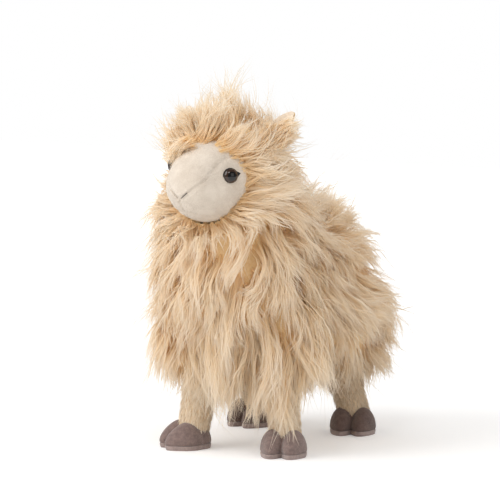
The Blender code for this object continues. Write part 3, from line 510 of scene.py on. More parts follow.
def unit(vectors):
    """Rows of vectors made one long."""
    return vectors / np.maximum(np.linalg.norm(vectors, axis=-1, keepdims=True), 1e-12)


for word, thread in (("left", black_thread), ("right", tucked_thread)):
    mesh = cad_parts["nostril_stitch_" + word].data.copy()
    mesh.materials.clear()
    spots = np.array([vert.co[:] for vert in mesh.vertices])
    middle = spots.mean(axis=0)
    course = np.linalg.svd(spots - middle, full_matrices=False)[2][0]
    line = middle + ((spots - middle) @ course)[:, None] * course
    outward = unit(middle - np.array(face_place.translation))
    thinned = line + (spots - line) * THREAD_SHARE + outward * THREAD_LIFT
    mesh.vertices.foreach_set("co", thinned.ravel())
    mesh.update()
    dress("nostril_thread_" + word, mesh, thread, "thread", "nostril_stitch_" + word)


# Each leg is a tube of short-pile plush over its own filling, sewn into the body at its top. The
# pile is brushed down and ends raggedly over the hoof, and the tube's end is tucked in under it.
# The rear legs' pile takes darker tones, as painted shade.
ANKLE_X = 0.0457
FRONT_RIGHT_ANKLE_X = 0.0385
ANKLE_Y = 0.0650
ANKLE_Z = 0.0180
ANKLE_RADIUS = 0.0126
KNEE_RADIUS = 0.0132
KNEE_SHARE = 0.42
HIP_X = 0.0340
HIP_Y = 0.0540
HIP_RADII = {"front": 0.0157, "rear": 0.0207}
LEG_TOP_Z = 0.0690
CUFF_TUCK = 0.0030
LEG_AROUND = 40
LEG_RINGS = 16
LEG_HAIRS = 2600
LEG_HAIR_LENGTH = 0.0058
LEG_HAIR_LIFT = 0.0013
LEG_HAIR_WIDTH = 0.00070
LEG_HAIR_SWAY = 0.22
LEG_HAIR_ROLL = 0.4
LEG_HAIR_STATIONS = 4
LEG_SKIN_INSET = 0.0006
LEG_ROOT_INSET = 0.0008
LEG_BACKING_LIT = (0.90, 0.73, 0.52)
LEG_BACKING_SHADED = (0.78, 0.60, 0.40)
TONES = 8
UNTINTED = (1.0, 1.0, 1.0)
HAIR_GLOSS = 0.3
MIDDLE_TIP_SHARE = 0.65
LEG_ROOT = (0.88, 0.72, 0.51)
LEG_TIP = (0.97, 0.87, 0.72)
# Painted shade: the darkest leg tone and the low tone ranges darken the rear legs.
LEG_DARKEST_PAINTED_SHADE = (0.62, 0.54, 0.45)
LEG_TONES_REAR_PAINTED_SHADE = {"front_left": (5, 8), "front_right": (5, 8), "rear_left": (1, 5), "rear_right": (0, 4)}


def corner(word):
    """A leg's side and end of the body, each as a sign: left and rear are 1."""
    return (1 if word.endswith("left") else -1), (-1 if word.startswith("front") else 1)


def ankle_place(word, height):
    """The middle of a leg's ankle, at a height."""
    side, end = corner(word)
    out = FRONT_RIGHT_ANKLE_X if word == "front_right" else ANKLE_X
    return stance + Vector((side * out, end * ANKLE_Y, height))


def piled(name, root, tip, darkest, palest, roughness, sheen, through):
    """Hair whose colour runs from root to tip, in several tones from dark to pale.

    The tone stands across the map and the way along a hair stands up it. A share of the light goes
    through the hairs.
    """
    material = finish(name, tip, roughness, sheen)
    spread = add(material, "UVMap")
    spread.uv_map = "OFBake"
    split = add(material, "SeparateXYZ")
    wire(material, spread.outputs["UV"], split.inputs["Vector"])
    middle = [low * (1.0 - MIDDLE_TIP_SHARE) + high * MIDDLE_TIP_SHARE for low, high in zip(root, tip)]
    along = ramp(material, split.outputs["Y"], ((0.0, root), (0.42, middle), (0.85, tip)))
    shades = []
    for tone in range(TONES):
        share = tone / (TONES - 1)
        shades.append((tone / TONES, [low + (high - low) * share for low, high in zip(darkest, palest)]))
    shade = ramp(material, split.outputs["X"], shades, steps=True)
    tinted = multiplied(material, along, shade)
    wire(material, tinted, shader_of(material).inputs["Base Color"])
    shader_of(material).inputs["Specular IOR Level"].default_value = HAIR_GLOSS
    glow = add(material, "BsdfTranslucent")
    wire(material, tinted, glow.inputs["Color"])
    both = add(material, "MixShader")
    both.inputs["Fac"].default_value = through
    wire(material, shader_of(material).outputs["BSDF"], both.inputs[1])
    wire(material, glow.outputs["BSDF"], both.inputs[2])
    wire(material, both.outputs["Shader"], material.node_tree.nodes["Material Output"].inputs["Surface"])
    return material


def hair_mesh(name, places, across, tones):
    """Hairs as flat ribbons that end in a point.

    places is (hairs, stations, 3), and across is half of a hair's width there, square to its run.
    """
    hairs, stations, _ = places.shape
    rungs = stations - 1
    corners = np.empty((hairs, 2 * rungs + 1, 3), dtype=np.float32)
    corners[:, 0:2 * rungs:2] = (places - across)[:, :-1]
    corners[:, 1:2 * rungs:2] = (places + across)[:, :-1]
    corners[:, -1] = places[:, -1]
    pattern = []
    for rung in range(rungs - 1):
        pattern += [2 * rung, 2 * rung + 1, 2 * rung + 3, 2 * rung + 2]
    pattern += [2 * rungs - 2, 2 * rungs - 1, 2 * rungs]
    pattern = np.array(pattern)
    first = np.arange(hairs)[:, None]
    mesh = bpy.data.meshes.new(name)
    mesh.vertices.add(hairs * (2 * rungs + 1))
    mesh.vertices.foreach_set("co", corners.ravel())
    mesh.loops.add(hairs * len(pattern))
    mesh.loops.foreach_set("vertex_index", (pattern[None] + first * (2 * rungs + 1)).ravel())
    mesh.polygons.add(hairs * rungs)
    mesh.polygons.foreach_set("loop_start", (np.arange(rungs)[None] * 4 + first * len(pattern)).ravel())
    mesh.update(calc_edges=True)
    mesh.shade_smooth()
    tip = pattern == 2 * rungs
    side = np.where(tip, 0.5, pattern % 2)
    spread = np.empty((hairs, len(pattern), 2), dtype=np.float32)
    spread[:, :, 0] = (tones[:, None] + 0.1 + 0.8 * side[None]) / TONES
    spread[:, :, 1] = (np.where(tip, rungs, pattern // 2) / rungs)[None]
    mesh.uv_layers.new(name="OFBake").data.foreach_set("uv", spread.ravel())
    return mesh


def leg_radius(share, hip_radius):
    """A leg's radius at a share of its way up from the ankle."""
    return np.interp(share, (0.0, KNEE_SHARE, 1.0), (ANKLE_RADIUS, KNEE_RADIUS, hip_radius))


def ring_mesh(name, rings, around):
    """A tube over rings with closed ends."""
    axis = (rings[-1][0] - rings[0][0]).normalized()
    turned = axis.to_track_quat("Z", "Y")
    bm = bmesh.new()
    loops = []
    for middle, radius in rings:
        loop = []
        for index in range(around):
            angle = 2.0 * math.pi * index / around
            spoke = Vector((radius * math.cos(angle), radius * math.sin(angle), 0))
            loop.append(bm.verts.new(middle + turned @ spoke))
        loops.append(loop)
    for low, high in zip(loops, loops[1:]):
        for index in range(around):
            other = (index + 1) % around
            bm.faces.new((low[index], low[other], high[other], high[index]))
    bm.faces.new(loops[0][::-1])
    bm.faces.new(loops[-1])
    return smooth_mesh(name, bm)


leg_backing = napped("leg_backing", LEG_BACKING_SHADED, LEG_BACKING_LIT, roughness=0.92, sheen=0.2,
                     drift=200.0, nap=1400.0, depth=0.0006)
leg_pile = piled("leg_pile", LEG_ROOT, LEG_TIP, LEG_DARKEST_PAINTED_SHADE, UNTINTED, roughness=0.75, sheen=0.25,
                 through=0.25)

for leg_index, word in enumerate(LEG_WORDS):
    side, end = corner(word)
    hip_radius = HIP_RADII[word.split("_")[0]]
    ankle = ankle_place(word, ANKLE_Z - CUFF_TUCK)
    hip = stance + Vector((side * HIP_X, end * HIP_Y, LEG_TOP_Z))
    rings = []
    for index in range(LEG_RINGS + 1):
        share = index / LEG_RINGS
        rings.append((ankle.lerp(hip, share), leg_radius(share, hip_radius) - LEG_SKIN_INSET))
    tube = ring_mesh("leg_skin", rings, LEG_AROUND)
    skin = dress("leg_skin_" + word, tube, leg_backing, "leg_pile", "leg_" + word)

    rng = np.random.default_rng(40 + leg_index)
    share = rng.uniform(0.02, 1.0, LEG_HAIRS)
    angle = rng.uniform(0.0, 2.0 * np.pi, LEG_HAIRS)
    turned = np.array((hip - ankle).normalized().to_track_quat("Z", "Y").to_matrix())
    out = np.stack([np.cos(angle), np.sin(angle), np.zeros(LEG_HAIRS)], 1) @ turned.T
    low = np.array(ankle)
    high = np.array(hip)
    standing_off = leg_radius(share, hip_radius) - LEG_ROOT_INSET
    roots = low + (high - low) * share[:, None] + out * standing_off[:, None]
    down = unit(low - high)
    beside = np.cross(out, down)
    length = LEG_HAIR_LENGTH * rng.uniform(0.7, 1.25, LEG_HAIRS)
    sway = rng.normal(0.0, LEG_HAIR_SWAY, LEG_HAIRS)
    lift = LEG_HAIR_LIFT * rng.uniform(0.4, 1.5, LEG_HAIRS)
    stations = np.linspace(0.0, 1.0, LEG_HAIR_STATIONS)
    places = np.stack([
        roots + down * (length * s)[:, None] + beside * (length * sway * s)[:, None]
        + out * (lift * np.sin(s * 2.0))[:, None] for s in stations
    ], axis=1)
    roll = rng.normal(0.0, LEG_HAIR_ROLL, LEG_HAIRS)[:, None]
    flat_way = unit(beside * np.cos(roll) + out * np.sin(roll))
    taper = np.interp(stations, (0.0, 0.4, 1.0), (0.8, 1.0, 0.1))
    widths = LEG_HAIR_WIDTH / 2 * rng.uniform(0.7, 1.3, LEG_HAIRS)
    across = flat_way[:, None, :] * (widths[:, None] * taper[None])[:, :, None]
    # Painted shade: the rear legs take the darker tones.
    tones = rng.integers(*LEG_TONES_REAR_PAINTED_SHADE[word], LEG_HAIRS)
    mesh = hair_mesh("leg_pile", places, across, tones)
    dress("leg_pile_" + word, mesh, leg_pile, "leg_pile", "leg_" + word)


# The hooves are grey suede-like plush: two drop-shaped toes and a heel sewn to a flat sole, which
# shows as a paler band under a seam. The uppers of the rear hooves are painted darker, as painted
# shade. The stuffing fills the toes, so their split stays a deep crease.
TOE_OFFSET = 0.0088
TOE_HALF_WIDTH = 0.0105
TOE_HALF_LENGTH = 0.0165
TOE_HEIGHT = 0.0222
TOE_FORWARD = 0.0105
TOE_MIDDLE_Z = 0.0050
TOE_TAPER = 0.28
TOE_SLOPE = 0.30
TOE_DRAWN_IN = 0.12
TOE_UNDERSIDE = 0.75
HEEL_RADIUS = 0.0152
HEEL_FORWARD = 0.0005
SOLE_THICKNESS = 0.0040
SOLE_SEAM = 0.0007
UPPER_FROM = SOLE_THICKNESS + 0.0002
SOLE_TO = SOLE_THICKNESS - 0.0001
CREASE_ANGLE = math.radians(60.0)
HOOF_VOXEL = 0.0008
TOE_OUT = {"front_left": 14.0, "front_right": 46.0, "rear_left": 16.0, "rear_right": 12.0}
SUEDE_LIT = (0.265, 0.185, 0.165)
SUEDE_SHADED = (0.170, 0.115, 0.102)
# Painted shade: a darker copy of the suede for the uppers of the rear hooves.
PAINTED_SHADE_REAR_LIT = (0.165, 0.108, 0.092)
PAINTED_SHADE_REAR_SHADED = (0.105, 0.066, 0.055)
SOLE_LIT = (0.400, 0.305, 0.280)
SOLE_SHADED = (0.290, 0.215, 0.195)


def evaluated_mesh(name, bm, modifiers):
    """A mesh after its modifiers, each given as (kind, settings)."""
    mesh = bpy.data.meshes.new(name)
    bm.to_mesh(mesh)
    bm.free()
    worked = bpy.data.objects.new(name, mesh)
    bpy.context.scene.collection.objects.link(worked)
    for index, (kind, settings) in enumerate(modifiers):
        modifier = worked.modifiers.new(f"step_{index}", kind)
        for setting, value in settings.items():
            setattr(modifier, setting, value)
    done = bpy.data.meshes.new_from_object(worked.evaluated_get(bpy.context.evaluated_depsgraph_get()))
    bpy.data.objects.remove(worked)
    bpy.data.meshes.remove(mesh)
    return done


def add_egg(bm, middle, radii, around=32, along=20):
    """An egg at a place, with three radii."""
    made = bmesh.ops.create_uvsphere(bm, u_segments=around, v_segments=along, radius=1.0)
    for vert in made["verts"]:
        vert.co = [middle[axis] + vert.co[axis] * radii[axis] for axis in range(3)]
    return made["verts"]


def hoof_form():
    """Toes and heel blended into one soft form."""
    bm = bmesh.new()
    for toe in (-1, 1):
        for vert in add_egg(bm, (0, 0, 0), (1, 1, 1)):
            forward = -vert.co.y
            narrow = 1.0 - TOE_TAPER * max(0.0, forward)
            lower = 1.0 - TOE_SLOPE * max(0.0, forward)
            height = (TOE_HEIGHT - TOE_MIDDLE_Z) * (lower if vert.co.z > 0 else TOE_UNDERSIDE)
            x = toe * TOE_OFFSET * (1.0 - TOE_DRAWN_IN * forward) + vert.co.x * TOE_HALF_WIDTH * narrow
            vert.co = (x, -TOE_FORWARD + vert.co.y * TOE_HALF_LENGTH, TOE_MIDDLE_Z + vert.co.z * height)
    add_egg(bm, (0, -HEEL_FORWARD, TOE_MIDDLE_Z), (HEEL_RADIUS, HEEL_RADIUS, TOE_HEIGHT - TOE_MIDDLE_Z))
    return evaluated_mesh("hoof_form", bm, (
        ("REMESH", {"mode": "VOXEL", "voxel_size": HOOF_VOXEL}),
        ("SMOOTH", {"factor": 0.5, "iterations": 3}),
    ))


def sliced(mesh, height, keep_above, tuck):
    """The part of a form above or below a height, its cut closed and drawn in a little."""
    bm = bmesh.new()
    bm.from_mesh(mesh)
    cut = bmesh.ops.bisect_plane(
        bm, geom=bm.verts[:] + bm.edges[:] + bm.faces[:], plane_co=(0, 0, height), plane_no=(0, 0, 1),
        clear_inner=keep_above, clear_outer=not keep_above,
    )
    rim = [item for item in cut["geom_cut"] if isinstance(item, bmesh.types.BMEdge)]
    bmesh.ops.holes_fill(bm, edges=rim)
    if tuck:
        for vert in bm.verts:
            near = abs(vert.co.z - height) / (2.0 * tuck)
            if near < 1.0 and vert.link_faces:
                level = Vector((vert.normal.x, vert.normal.y, 0.0))
                vert.co -= level * (tuck * (1.0 - near) ** 2)
    made = smooth_mesh(mesh.name, bm)
    made.set_sharp_from_angle(angle=CREASE_ANGLE)
    return made


suede, rear_suede_painted_shade, sole_suede = (
    napped(name, shaded, lit, roughness, sheen, drift=330.0, nap=1500.0, depth=depth)
    for name, shaded, lit, roughness, sheen, depth in (
        ("hoof_suede", SUEDE_SHADED, SUEDE_LIT, 0.88, 0.35, 0.0005),
        ("rear_suede_painted_shade", PAINTED_SHADE_REAR_SHADED, PAINTED_SHADE_REAR_LIT, 0.88, 0.25, 0.0005),
        ("sole_suede", SOLE_SHADED, SOLE_LIT, 0.90, 0.35, 0.0004),
    )
)
form = hoof_form()
upper_mesh = sliced(form, UPPER_FROM, True, SOLE_SEAM)
sole_mesh = sliced(form, SOLE_TO, False, SOLE_SEAM)
sole_mesh = sliced(sole_mesh, 0.0, True, 0.0)
for word in LEG_WORDS:
    side, _ = corner(word)
    standing = Matrix.Translation(ankle_place(word, 0.0))
    standing @= Matrix.Rotation(side * math.radians(TOE_OUT[word]), 4, "Z")
    for kind, mesh, material in (("upper", upper_mesh, suede), ("sole", sole_mesh, sole_suede)):
        placed = mesh.copy()
        placed.transform(standing)
        # Painted shade: the uppers of the rear hooves take the darker suede.
        if word.startswith("rear") and kind == "upper":
            material = rear_suede_painted_shade
        piece = dress(f"hoof_{kind}_suede_{word}", placed, material, "hoof_suede", f"hoof_{kind}_{word}")


# The coat's backing is a knitted skin over the filled body, neck and head, coloured a golden brown
# that shows between the roots of the pile, partly painted shade of the coat's depth. It stops round the face.
BACKING_LIFT = 0.0010
FUR_EDGE = (
    (0.0150, -0.0352), (0.0145, -0.0300), (0.0110, -0.0190), (0.0060, -0.0095), (0.0020, 0.0),
    (0.0010, 0.0090), (0.0050, 0.0195), (0.0150, 0.0265), (0.0230, 0.0320), (0.0260, 0.0440),
    (0.0200, 0.0620), (0.0100, 0.0800),
)
FAR_CHEEK_HAIR = 0.0170
FAR_CHEEK_X = (-0.032, -0.013)
FAR_CHEEK_Z = (-0.014, 0.004)
OPENING_HALF_HEIGHT = 0.036
OPENING_HALF_WIDTH = 0.05
BACKING_VOXEL = 0.003
# Partly painted shade: the golden brown stands for the shaded depth between the roots.
BACKING_LIT = (0.88, 0.64, 0.36)
BACKING_SHADED = (0.80, 0.54, 0.27)

edge_heights = np.array([z for _, z in FUR_EDGE])
edge_forwards = np.array([forward for forward, _ in FUR_EDGE])
from_world = np.array(face_place.inverted())


def past_fur_edge(points):
    """How far points lie in front of the edge of the long pile, with their places in the face's frame."""
    local = points @ from_world[:3, :3].T + from_world[:3, 3]
    edge = np.interp(local[..., 2], edge_heights, edge_forwards)
    far = np.interp(local[..., 0], FAR_CHEEK_X, (1.0, 0.0))
    far = far * np.interp(local[..., 2], FAR_CHEEK_Z, (0.0, 1.0))
    return -local[..., 1] - edge - FAR_CHEEK_HAIR * far, local


bm = bmesh.new()
bm.from_mesh(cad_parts["body_stuffing"].data)
skin_mesh = evaluated_mesh("coat_backing", bm, (
    ("REMESH", {"mode": "VOXEL", "voxel_size": BACKING_VOXEL}),
    ("SMOOTH", {"factor": 0.5, "iterations": 8}),
))
count = len(skin_mesh.vertices)
skin_verts = np.empty(count * 3, dtype=np.float32)
skin_normals = np.empty(count * 3, dtype=np.float32)
skin_mesh.vertices.foreach_get("co", skin_verts)
skin_mesh.vertex_normals.foreach_get("vector", skin_normals)
skin_verts = skin_verts.reshape(-1, 3) + skin_normals.reshape(-1, 3) * BACKING_LIFT
skin_mesh.vertices.foreach_set("co", skin_verts.ravel())
skin_mesh.update()
skin_faces = [tuple(face.vertices) for face in skin_mesh.polygons]
skin_tree = BVHTree.FromPolygons(skin_verts.tolist(), skin_faces)
ahead, local = past_fur_edge(skin_verts)
bare = (ahead > 0.0) & (local[:, 2] < OPENING_HALF_HEIGHT) & (local[:, 2] > -OPENING_HALF_HEIGHT)
bare &= np.abs(local[:, 0]) < OPENING_HALF_WIDTH
bm = bmesh.new()
bm.from_mesh(skin_mesh)
bm.verts.ensure_lookup_table()
bmesh.ops.delete(bm, geom=[bm.verts[index] for index in np.flatnonzero(bare)], context="VERTS")
bm.to_mesh(skin_mesh)
bm.free()
skin_mesh.shade_smooth()
backing_knit = napped("backing_knit", BACKING_SHADED, BACKING_LIT, roughness=0.95, sheen=0.1,
                      drift=260.0, nap=1200.0, depth=0.0008)
backing = dress("coat_backing", skin_mesh, backing_knit, "long_pile",
                "coat_left", "coat_right", "belly_panel", "hood")


# The long pile is silky hair up to 60 mm long, woven into the backing. It falls in wavy pointed
# tufts, down and back over body and flanks, away from the muzzle on the head and up on the crown.
# Each tuft is combed over the backing first, then split into locks, and those into hairs.
FLANK_HALF_WIDTH = 0.0945
FLANK_HALF_LENGTH = 0.1130
FLANK_HALF_HEIGHT = 0.0600
FLANK_MIDDLE = Vector((0.0, 0.004, 0.101))
FLANK_ROUNDNESS = 0.68
BACK_RADII = (0.080, 0.104, 0.067)
BACK_MIDDLE = Vector((0.0, 0.008, 0.149))
HAUNCH_RADII = (0.042, 0.044, 0.043)
HAUNCH_PLACES = (
    (0.043, -0.060, 0.082), (-0.036, -0.058, 0.082), (0.038, 0.066, 0.066), (-0.043, 0.066, 0.080),
)
NECK_ROOT = Vector((0.0, -0.056, 0.138))
NECK_TOP = Vector((0.0, -0.073, 0.206))
MANE_ROOT_RADIUS = 0.0750
MANE_TOP_RADIUS = 0.0615
MANE_STEPS = 4
CROWN_MIDDLE = Vector((-0.005, -0.071, 0.240))
CROWN_RADIUS = 0.0530
TOPKNOT_MIDDLE = Vector((-0.020, -0.090, 0.283))
TOPKNOT_RADII = (0.033, 0.031, 0.031)
CROWN_PARTING = -0.014
CROWN_SPREAD = 5.0
CROWN_LEAN = 0.22
CROWN_BLEND_Z = (CROWN_MIDDLE.z + 0.008, CROWN_MIDDLE.z + 0.040)
CROWN_END_Y = (-0.055, -0.025)
NAPE_FALL = 1.3
NAPE_Y = (-0.060, -0.020)
AWAY_LEAN = Vector((0.0, 0.12, 0.05))
SIDE_SPREAD = 3.0
BACK_SWEEP = 0.62
SWEEP_Y = (-0.07, 0.06)
SWIRL_SCALE = 22.0
EDDY_SCALE = 50.0
EDDY_SHARE = 0.4
EDDY_SHIFT = Vector((7.0, 3.0, 1.0))
COVER_VOXEL = 0.004
HOOD_SEAM = Vector((0.0, -0.100, 0.190))
HOOD_SEAM_NORMAL = Vector((0.0, -0.35, 0.937))
HOOD_BLEND = (-0.004, 0.024)
HEAD_FROM = 0.006
MANE_BAND = (0.010, 0.035)
HEM_Z = 0.038
HEM_RAGGED = 0.0035
FRINGE_Z = 0.019
FRINGE_PLACE = Vector((0.024, -0.088))
FRINGE_WIDTH = 1.7
FRINGE_FULL_TO = 0.018
FRINGE_END = 0.038
REAR_DROP = 0.010
FRINGE_TOP = 0.105
FRINGE_EXTRA = 0.058
TUFT_SPACING = 0.0122
TUFT_TRIES = 30000
TUFT_STEPS = 14
TUFT_RADIUS = 0.0085
TUFT_GATHERED = 0.48
TUFT_SHORTEST = 0.62
BODY_LENGTH = 0.060
HEAD_LENGTH = 0.044
BELLY_LENGTH = 0.034
MANE_EXTRA = 0.012
LENGTH_RANGE = (0.82, 1.15)
ROOT_BACK = (0.25, 0.55)
ROOT_DEPTH = 0.012
BELLY_FACING = -0.55
EDGE_FROM = -0.0005
EDGE_SLIDE = 0.0008
EDGE_HEIGHTS = (-0.037, 0.040)
LOW_LEVEL = 0.78
HIGH_LEVEL = 1.08
MANE_LEVEL = 0.12
SETTLING = 2.2
STEEPEST = 0.92
SINKING = -0.35
LEAST_RUN = 0.3
UNDERSIDE = (0.05, 0.5)
BEND = 0.36
BEND_WAVES = 1.4
FLICK_RANGE = (-0.15, 0.15)
FLICKED_SHARE = 0.25
FLICKED_MORE = 0.55
FLICK_FROM = 0.55
SHADE_LOW = 0.20
# Painted shade: tufts that lie lower in the coat take darker tones.
PAINTED_SHADE_BY_LEVEL = 1.10
TUFT_SHADES = 0.34
LOCK_SHADES = 0.17
HAIR_SHADES = 0.09
LOCKS_IN_TUFT = 16
LOCK_RADIUS = 0.0016
LOCK_GATHERED = 0.35
LOCK_SHORTEST = 0.70
LOCK_LIFT = 0.0042
WAVE_HEIGHT = 0.0022
WAVE_LENGTH = 0.040
LOOSE_SHARE = 0.14
LOOSE_SPREAD = 2.2
TUFT_FLATNESS = 0.55
FAN_CURVE = 0.8
HAIRS_IN_LOCK = 5
HAIR_WIDTH = 0.00060
HAIR_WAVE = 0.0006
HAIR_LIFT = 0.0008
HAIR_ROLL = 0.40
HAIR_STATIONS = 7
FACE_CLEARANCE = 0.0012
FACE_CLEAR_Z = (-0.037, 0.034)
FACE_CLEAR_X = 0.048
WOOL_FROM = 0.008
WOOL_SHARE = 0.30
WOOL_MOST = 0.006
PILE_ROUGHNESS = 0.50
PILE_SHEEN = 0.2
PILE_THROUGH = 0.55
# Partly painted shade: the roots' deeper gold stands for the shaded depth of the coat.
PILE_ROOT = (0.96, 0.77, 0.48)
PILE_TIP = (0.98, 0.905, 0.79)
PILE_DARKEST = (0.95, 0.91, 0.83)
PILE_PALEST = (0.99, 0.98, 0.97)


def smoothstep(low, high, value):
    """0 at the low end and 1 at the high end, with soft turns between."""
    share = min(1.0, max(0.0, (value - low) / (high - low)))
    return share * share * (3.0 - 2.0 * share)


# The cover is the level that the tips of the hair reach.
bm = bmesh.new()
flank = FLANK_HALF_WIDTH * FLANK_ROUNDNESS
for _, side in SIDES:
    add_egg(bm, stance + FLANK_MIDDLE + Vector((side * (FLANK_HALF_WIDTH - flank), 0.0, 0.0)),
            (flank, FLANK_HALF_LENGTH, FLANK_HALF_HEIGHT))
for place in HAUNCH_PLACES:
    add_egg(bm, stance + Vector(place), HAUNCH_RADII)
add_egg(bm, stance + BACK_MIDDLE, BACK_RADII)
for step in range(MANE_STEPS + 1):
    radius = MANE_ROOT_RADIUS + (MANE_TOP_RADIUS - MANE_ROOT_RADIUS) * step / MANE_STEPS
    add_egg(bm, stance + NECK_ROOT.lerp(NECK_TOP, step / MANE_STEPS), (radius, radius, radius))
add_egg(bm, stance + CROWN_MIDDLE, (CROWN_RADIUS, CROWN_RADIUS, CROWN_RADIUS))
add_egg(bm, stance + TOPKNOT_MIDDLE, TOPKNOT_RADII)
cover_mesh = evaluated_mesh("coat_cover", bm, (
    ("REMESH", {"mode": "VOXEL", "voxel_size": COVER_VOXEL}),
    ("SMOOTH", {"factor": 0.5, "iterations": 6}),
))
cover_mesh.calc_loop_triangles()
cover_verts = np.array([vert.co[:] for vert in cover_mesh.vertices])
cover_faces = np.array([tri.vertices[:] for tri in cover_mesh.loop_triangles])
cover_tree = BVHTree.FromPolygons(cover_verts.tolist(), cover_faces.tolist())

# Where the pile is deep, the short wool at its roots makes the backing look fuller.
raised = []
for spot, facing in [(vert.co.copy(), vert.normal.copy()) for vert in skin_mesh.vertices]:
    depth = cover_tree.find_nearest(spot)[3]
    raised.append(spot + facing * min(WOOL_MOST, max(0.0, WOOL_SHARE * (depth - WOOL_FROM))))
skin_mesh.vertices.foreach_set("co", np.array(raised, dtype=np.float32).ravel())
skin_mesh.update()

muzzle = face_point(0.0, FACE_HALF_LENGTH, -0.010)
DOWN = Vector((0.0, 0.0, -1.0))


def above_hood_seam(place):
    """How far a place lies above the seam between hood and body."""
    return (place - stance - HOOD_SEAM).dot(HOOD_SEAM_NORMAL)


def lie_of_hair(spot, out):
    """Which way the hair lies: down and back on the body, away from the muzzle on the head."""
    place = spot - stance
    lie = Vector((place.x * SIDE_SPREAD, BACK_SWEEP * smoothstep(*SWEEP_Y, place.y), -1.0))
    head = smoothstep(*HOOD_BLEND, above_hood_seam(spot))
    if head > 0.0:
        away = (spot - muzzle).normalized() + AWAY_LEAN
        away.z -= NAPE_FALL * smoothstep(*NAPE_Y, place.y)
        up = smoothstep(*CROWN_BLEND_Z, place.z)
        up *= 1.0 - smoothstep(*CROWN_END_Y, place.y)
        upward = Vector(((place.x - CROWN_PARTING) * CROWN_SPREAD - CROWN_LEAN, -0.02, 1.0))
        lie = lie.lerp(away.lerp(upward, up), head)
    swirl = noise.noise(place * SWIRL_SCALE)
    swirl += noise.noise(place * EDDY_SCALE + EDDY_SHIFT) * EDDY_SHARE
    lie -= out * lie.dot(out)
    if lie.length < 0.05:
        lie = DOWN - out * DOWN.dot(out)
    lie.normalize()
    return (lie + out.cross(lie) * swirl).normalized()


def in_fringe(spot):
    """1 in the middle of the long fringe over the front left leg, and 0 outside it."""
    aside = Vector((
        (spot.x - stance.x - FRINGE_PLACE.x) / FRINGE_WIDTH, spot.y - stance.y - FRINGE_PLACE.y,
    ))
    return 1.0 - smoothstep(FRINGE_FULL_TO, FRINGE_END, aside.length)


def hem_height(spot):
    """How low the hair hangs: to the hem, and as a longer fringe over the front left leg."""
    hem = HEM_Z - REAR_DROP * smoothstep(0.03, 0.09, spot.y - stance.y)
    return hem + (FRINGE_Z - hem) * in_fringe(spot)


def comb(root, length, level, bend, flick):
    """The middle line of one tuft, with the way out from the coat at each step."""
    low, facing, _, _ = skin_tree.find_nearest(root)
    spot = low.copy()
    places, ways_out = [spot.copy()], [facing.copy()]
    step = length / TUFT_STEPS
    for index in range(1, TUFT_STEPS + 1):
        share = index / TUFT_STEPS
        low, low_out, _, _ = skin_tree.find_nearest(spot)
        high, high_out, _, _ = cover_tree.find_nearest(spot)
        out = low_out + high_out
        out = out.normalized() if out.length > 0.1 else high_out
        depth = (high - low).length
        height = (spot - low).dot(low_out)
        wanted = depth * level * (1.0 - (1.0 - share) ** SETTLING)
        under = smoothstep(*UNDERSIDE, -high_out.z) if above_hood_seam(spot) < 0.0 else 0.0
        rise = max(SINKING * step, min(STEEPEST * step, wanted - height)) * (1.0 - under)
        rise += step * flick * smoothstep(FLICK_FROM, 1.0, share)
        lie = lie_of_hair(spot, out).lerp(DOWN, under)
        lie = (lie + out.cross(lie) * (bend * math.cos(math.pi * share * BEND_WAVES))).normalized()
        run = math.sqrt(max(step * step - rise * rise, (LEAST_RUN * step) ** 2))
        spot = spot + lie * run + out * rise
        places.append(spot.copy())
        ways_out.append(out.copy())
    return places, ways_out


def spread_points(spacing, rng):
    """Points over the cover, no two nearer than the spacing, with their ways out."""
    first, second, third = (cover_verts[cover_faces[:, corner]] for corner in range(3))
    square = np.cross(second - first, third - first)
    area = np.linalg.norm(square, axis=1)
    picked = rng.choice(len(area), TUFT_TRIES, p=area / area.sum())
    u, v = rng.uniform(size=(2, len(picked)))
    over = u + v > 1.0
    u[over], v[over] = 1.0 - u[over], 1.0 - v[over]
    points = first[picked] + (second - first)[picked] * u[:, None] + (third - first)[picked] * v[:, None]
    kept = []
    for index, point in enumerate(points):
        if not kept or ((points[kept] - point) ** 2).sum(axis=1).min() > spacing * spacing:
            kept.append(index)
    return points[kept], unit(square)[picked][kept]


